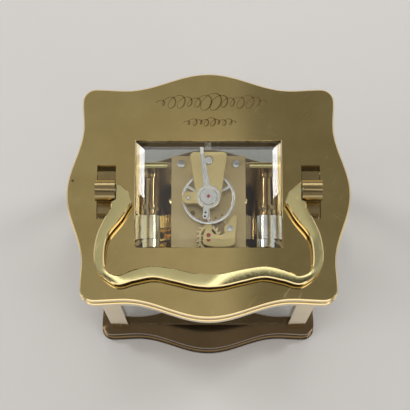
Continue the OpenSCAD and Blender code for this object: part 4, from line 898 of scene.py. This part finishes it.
edge_l, edge_r = cock_edges()
foot = np.vstack([edge_r[:9], [[5.68, 9.5]]])
piece("cock", tongue(edge_l, edge_r, COCK_TOP - COCK_T, COCK_TOP) + stud
      + tongue(foot * [-1, 1], foot, COCK_LOW, COCK_TOP - COCK_T + 0.05, 0.05), [COCK],
      replaces=["balance_cock"])

U_INNER = [(0.3, -9.2), (0.9, -10.8), (2.3, -12.3), (4.4, -12.4), (5.9, -11.2), (6.3, -9.4),
           (7.0, -7.4), (8.7, -5.8)]
U_OUTER = [(-0.6, -9.6), (-1.3, -11.2), (-1.6, -14.2), (3.2, -15.2), (8.4, -14.6), (9.1, -12.0),
           (9.6, -8.6), (9.7, -5.8)]
arch = tongue(smooth_curve(U_OUTER, 8), smooth_curve(U_INNER, 8), ESC_TOP - ESC_T, ESC_TOP, 0.1)
arm = bar_between((0, -11.0), (0, -6.2), 2.2, 2.5, ESC_TOP - ESC_T, ESC_TOP - 0.02, True)
post = lathe([(0, ESC_LOW), (1.9, ESC_LOW), (1.9, ESC_TOP - 0.1), (0, ESC_TOP - 0.1)], (7.2, -10.3, 0))
piece("escape_bridge", arch + arm + [post], [COCK], replaces=["escape_cock"])

RING_IN, RING_OUT = 2.98, 4.0
ring_parts = [lathe([(RING_IN, INDEX_LOW), (RING_IN, INDEX_HIGH - 0.05), (RING_IN + 0.07, INDEX_HIGH),
                     (RING_OUT - 0.1, INDEX_HIGH), (RING_OUT, INDEX_HIGH - 0.08), (RING_OUT, INDEX_LOW),
                     (RING_IN, INDEX_LOW)], (0, 0, 0), steps=72)]
bar_low, bar_high = INDEX_LOW + 0.01, INDEX_HIGH - 0.01
finger = bar_between((-0.55, 3.2), (-2.35, 16.6), 2.3, 1.15, bar_low, bar_high)
tail = bar_between((-0.55, -3.2), (-1.35, -7.8), 2.1, 2.0, bar_low, bar_high, True)
piece("index", ring_parts + finger + tail, [STEEL], body="index",
      replaces=["regulator_index"])

cap_profile = [(0, CAP_LOW), (2.86, CAP_LOW), (2.86, CAP_TOP - 0.12), (2.74, CAP_TOP), (0.55, CAP_TOP),
               (0.4, CAP_TOP - 0.12), (0, CAP_TOP - 0.12)]
piece("cap", [lathe(cap_profile, (0, 0, 0), steps=72)], [STEEL],
      replaces=["endstone_cap"])

# %% Screws, sinks and holes on the cock
COCK_SCREW, STUD_SCREW = (0, 12.7, COCK_TOP), (-6.9, -0.4, COCK_TOP)
screws = [lathe([(0, -0.2), (1.35, -0.2), (1.35, 0.16), (1.22, 0.26), (0, 0.26)], COCK_SCREW),
          lathe([(0, -0.1), (0.62, -0.1), (0.62, 0.1), (0.5, 0.2), (0, 0.2)], STUD_SCREW, steps=24)]
piece("cock_screws", screws, [STEEL])
# Dark rings round the screw heads: painted shade of their countersinks.
sinks = [lathe([(1.3, 0.02), (1.62, 0.02)], COCK_SCREW), lathe([(0.6, 0.02), (0.74, 0.02)], STUD_SCREW)]
piece("screw_sinks", sinks, [PAINTED_GROOVE_SHADE])
# Black discs on the index's tail: painted shade standing in for its two holes.
holes = [lathe([(0, 0.02), (0.32, 0.02), (0.36, -0.02)], (x, y, INDEX_HIGH), steps=20)
         for x, y in ((-1.02, -5.6), (-1.2, -6.9))]
piece("index_holes", holes, [PAINT], body="index")

# %% [markdown]
# ## Jewels
# The escapement's pivots turn in ruby. Each stone is a small cushion-shaped disc let into
# its cock, with the pivot's hole dark in the middle.

# %% Jewels


def jewel(x, y, z, r):
    """A ruby ring: flat rim, rounded shoulder and a dished oil sink down to the pivot's hole."""
    dish = [(0, 0), (0.12, 0), (0.2, 0.04), (r * 0.7, 0.1)]
    rim = [(r * 0.92, 0.08), (r, 0.0), (r, -0.06), (0, -0.06)]
    return lathe(dish + rim, (x, y, z), steps=32)


piece("jewels", [jewel(0, 0, CAP_TOP + 0.02, 0.6), jewel(0, -7.5, ESC_TOP + 0.08, 0.75),
                 jewel(0, -12.6, ESC_TOP + 0.08, 0.75)], [RUBY])

# %% [markdown]
# ## Sinks in the platform
# The platform is turned out under the escape wheel and drilled for oiling and for setting
# the lever's banking. From above these show only as darker rounds laid on the gilding: flat
# discs whose darkness is painted shade of the hollows.

# %% Platform sinks


def sink(x, y, r, lip=0.12):
    """A round hollow drawn on the platform: a flat floor of radius r, with a lip that rises to the
    platform's face; its dark material is painted shade of the hollow.
    """
    profile = [(0, 0.01), (r - lip, 0.01), (r, 0.03), (r + 0.05, 0.0)]
    return lathe(profile, (x, y, PLATFORM_TOP), steps=40)


PLATFORM_TOP = heights("platform_plate")[1]
# Darker rounds on the platform: painted shade of the turned sink and of the drilled holes.
piece("escape_sink", [sink(3.4, -9.8, 2.8), sink(0, -12.6, 3.6)], [INNER])
HOLES = [(-5.45, -4.6, 0.85), (2.4, -6.2, 0.35), (-3.3, -6.6, 0.3), (4.6, -5.2, 0.3)]
piece("oil_holes", [sink(*hole) for hole in HOLES], [PAINTED_GROOVE_SHADE])

# %% [markdown]
# ## The bright parts of the movement
# The fat middle of each upper movement pillar is turned and polished like a small drum, and
# the back plate's upper edge is rounded over and burnished. They are the brightest things
# beside the platform, seen through the top glass.

# %% Drums and burnished edge


def drum(side, y0, y1, r):
    """A polished barrel shape round a movement pillar: the radius bulges by a sine from end to
    end, with rounded corners."""
    u = np.linspace(0, 1, 17)
    bulge = r + 0.06 * np.sin(np.pi * u)
    middle = list(zip(bulge, y0 + 0.15 + u * (y1 - y0 - 0.3)))
    rows = [(r - 0.5, y0), (r - 0.12, y0 + 0.04)] + middle + [(r - 0.12, y1 - 0.04), (r - 0.5, y1)]
    return lathe(rows, (side * PILLAR_X, 0, PILLAR_Z), axis="y", steps=64)


PILLAR_R, DRUM_R, DRUM_FRONT, DRUM_BACK = 3.0, 3.03, -12.6, -4.0
pillars_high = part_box("movement_pillars")[1] / MM
PILLAR_X, PILLAR_Z = pillars_high.x - PILLAR_R, pillars_high.z - PILLAR_R
piece("left_drum", [drum(-1, DRUM_FRONT, DRUM_BACK, DRUM_R)], [DRUM])
piece("right_drum", [drum(1, DRUM_FRONT, DRUM_BACK, DRUM_R)], [STEEL])


def crest(x0, x1):
    """A half-round strip along the back plate's edge: its height is a half sine across the
    plate's thickness."""
    v = np.linspace(0, np.pi, 13)
    x = np.linspace(x0, x1, 9)[:, None]
    y = np.broadcast_to(CREST_Y - CREST_HALF * np.cos(v), (9, 13))
    z = np.broadcast_to(CREST_Z + CREST_RISE * np.sin(v), y.shape)
    return grid(np.stack([np.broadcast_to(x, y.shape), y, z], 2))


CREST_Y, CREST_Z, CREST_HALF, CREST_RISE = 12.7, 93.86, 1.09, 0.75
CREST_FAR, CREST_NEAR = 22.9, 14.2
piece("plate_crest", [crest(-CREST_FAR, -CREST_NEAR), crest(CREST_NEAR, CREST_FAR)], [HANDLE],
      sharp=60)
print("pillar at", round(PILLAR_X, 2), round(PILLAR_Z, 2))

# %% [markdown]
# ## The dial's numerals and minute track
# A carriage clock's dial has upright radial Roman hours, with four written as four strokes,
# between a minute track and the hands. Every numeral is a few painted strokes laid out in a
# frame that turns with the hour.

# %% Dial paint
DIAL_FACE, DIAL_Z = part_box("dial")[0].y / MM - 0.02, 60.0


def stroke(angle, a, b, wa, wb):
    """A flat painted stroke from a to b, wa and wb wide at its ends; a and b are (along the
    rim, outward) pairs that are turned to the hour's angle."""
    a, b = np.array(a, float), np.array(b, float)
    u = (b - a) / np.linalg.norm(b - a)
    side = np.array([-u[1], u[0]])
    local = np.array([[a - side * wa / 2, a + side * wa / 2], [b - side * wb / 2, b + side * wb / 2]])
    x = local[..., 0] * math.cos(angle) + local[..., 1] * math.sin(angle)
    z = -local[..., 0] * math.sin(angle) + local[..., 1] * math.cos(angle)
    return grid(np.stack([x, np.full(x.shape, DIAL_FACE), DIAL_Z + z], 2))


def numeral(hour, low=15.4, high=19.2):
    """The strokes of one Roman hour, set side by side and centred."""
    text = ["I", "II", "III", "IIII", "V", "VI", "VII", "VIII", "IX", "X", "XI", "XII"][hour - 1]
    wide = {"I": 1.05, "V": 2.2, "X": 2.2}
    at, angle, out = -sum(wide[c] for c in text) / 2, math.radians(hour * 30), []
    for c in text:
        m, h = at + wide[c] / 2, wide[c] / 2 - 0.3
        if c == "I":
            out.append(stroke(angle, (m, low), (m, high), 0.5, 0.5))
        else:
            foot_l, foot_r = (m, m) if c == "V" else (m - h, m + h)
            out.append(stroke(angle, (m - h, high), (foot_r, low), 0.55, 0.5))
            out.append(stroke(angle, (m + h, high), (foot_l, low), 0.22, 0.22))
        at += wide[c]
    return out


def minute(n):
    """One stroke of the minute track; every fifth is longer and bolder."""
    start, wide = (20.4, 0.18) if n % 5 else (20.1, 0.5)
    return stroke(math.radians(6 * n), (0, start), (0, 21.4), wide, wide)


numerals = [p for hour in range(1, 13) for p in numeral(hour)]
rings = [lathe([(r, 0), (r + 0.16, 0)], (0, DIAL_FACE, DIAL_Z), axis="y", steps=120) for r in (20.2, 21.35)]
piece("dial_paint", numerals + [minute(n) for n in range(60)] + rings, [PAINT])

# %% [markdown]
# ## Floor and light
# Brass is a mirror of its room, so each lamp is placed by what it does in the brass. The top
# plate shows the ceiling panel, whose dim right side gives the plate its two tones, and the
# handle's leaning parts show the overhead lamp. Two windows whiten the bevels of the glass,
# low walls of light draw the bright edges, and a dark cloth keeps the handle's underside dark.

# %% Floor, lamps and room


def sheet(name, half, front, back, height, material, faces_up=False):
    """A flat card for the room, half wide to each side, between two distances from the front."""
    mesh = bpy.data.meshes.new(name)
    corners = [(-half, front, height), (half, front, height), (half, back, height), (-half, back, height)]
    mesh.from_pydata(corners, [], [(0, 1, 2, 3) if faces_up else (3, 2, 1, 0)])
    mesh.materials.append(material)
    new_object(name, mesh)


def lamp(name, place, aim, size, power, colour=(1, 1, 1)):
    """A soft square lamp at place, turned to face aim."""
    d = bpy.data.lights.new(name, "AREA")
    d.shape, d.size, d.size_y = "RECTANGLE", size[0], size[1]
    d.energy, d.color = power, colour
    o = new_object(name, d)
    o.location = place
    o.rotation_mode = "QUATERNION"
    o.rotation_quaternion = Vector(np.array(place) - np.array(aim)).to_track_quat("Z", "Y")


def panel_light():
    """A soft panel with a dim right side: it brightens slowly from its left end, fades a little
    toward the rear and falls off sharply right of the middle."""
    m, t, bsdf = new_surface("ceiling_panel")
    bsdf.inputs["Roughness"].default_value = 0.9
    bsdf.inputs["Emission Strength"].default_value = 1.0
    parts = t.nodes.new("ShaderNodeSeparateXYZ")
    t.links.new(object_place(t), parts.inputs[0])
    x, y = parts.outputs["X"], parts.outputs["Y"]
    tone = (0.40, 0.39, 0.37)
    for low, high, value, level in ((-0.18, 0.03, x, 0.53), (0.37, 0.50, y, 0.37), (0.03, 0.075, x, 0.215)):
        tone = blend(t, tone, (level, 0.98 * level, 0.94 * level), ramp(t, value, low, high))
    t.links.new(tone, bsdf.inputs["Emission Color"])
    t.links.new(ramp(t, x, -1.0, 1.0, 0.02, 0.03), bsdf.inputs["Base Color"])
    return m


TABLE = stone("pale_table", (0.66, 0.645, 0.63), (0.64, 0.625, 0.61), (0.5, 0.6), 3.0, coat=0.0)
CLOTH = stone("black_cloth", (0.02, 0.02, 0.02), (0.01, 0.01, 0.01), (0.7, 0.9), 40.0)
CEILING = 1.5
sheet("table", 15, -15, 15, -5e-5, TABLE, faces_up=True)
lamp("left_lamp", (-1.1, -0.5, 0.9), (0, 0, 0.05), (0.9, 0.9), 5, (1.0, 0.98, 0.96))
lamp("right_lamp", (1.0, -0.7, 0.9), (0, 0, 0.05), (0.7, 0.7), 3.5, (1.0, 0.98, 0.95))
for side, name in ((-1, "left"), (1, "right")):
    lamp(name + "_window", (side * 1.0, 0.47, 1.1), (0, 0, 0.1), (0.3, 0.28), 4.8)
    lamp(name + "_wall", (side * 1.7, 0.0, 0.4), (0, 0, 0.1), (2.2, 0.5), 2.0)
lamp("overhead", (0.0, -0.05, 1.5), (0, -0.05, 0.1), (0.9, 0.18), 0.9)
lamp("rear_lamp", (0.1, 1.7, 1.0), (0, 0, 0.05), (1.6, 0.7), 7.5)
lamp("front_wall", (0.0, -1.6, 0.5), (0, 0, 0.1), (2.4, 0.6), 4.0)
sheet("shade", 0.6, -0.62, -0.16, CEILING, CLOTH)
sheet("panel", 0.6, 0.05, 1.0, CEILING, panel_light())
world = bpy.data.worlds.new("room")
bpy.context.scene.world = world
world.use_nodes = True
world.node_tree.nodes["Background"].inputs["Color"].default_value = (0.40, 0.39, 0.375, 1.0)
world.node_tree.nodes["Background"].inputs["Strength"].default_value = 1.0
bpy.context.scene.view_settings.view_transform = "Standard"
print("lamps", len(bpy.data.lights))
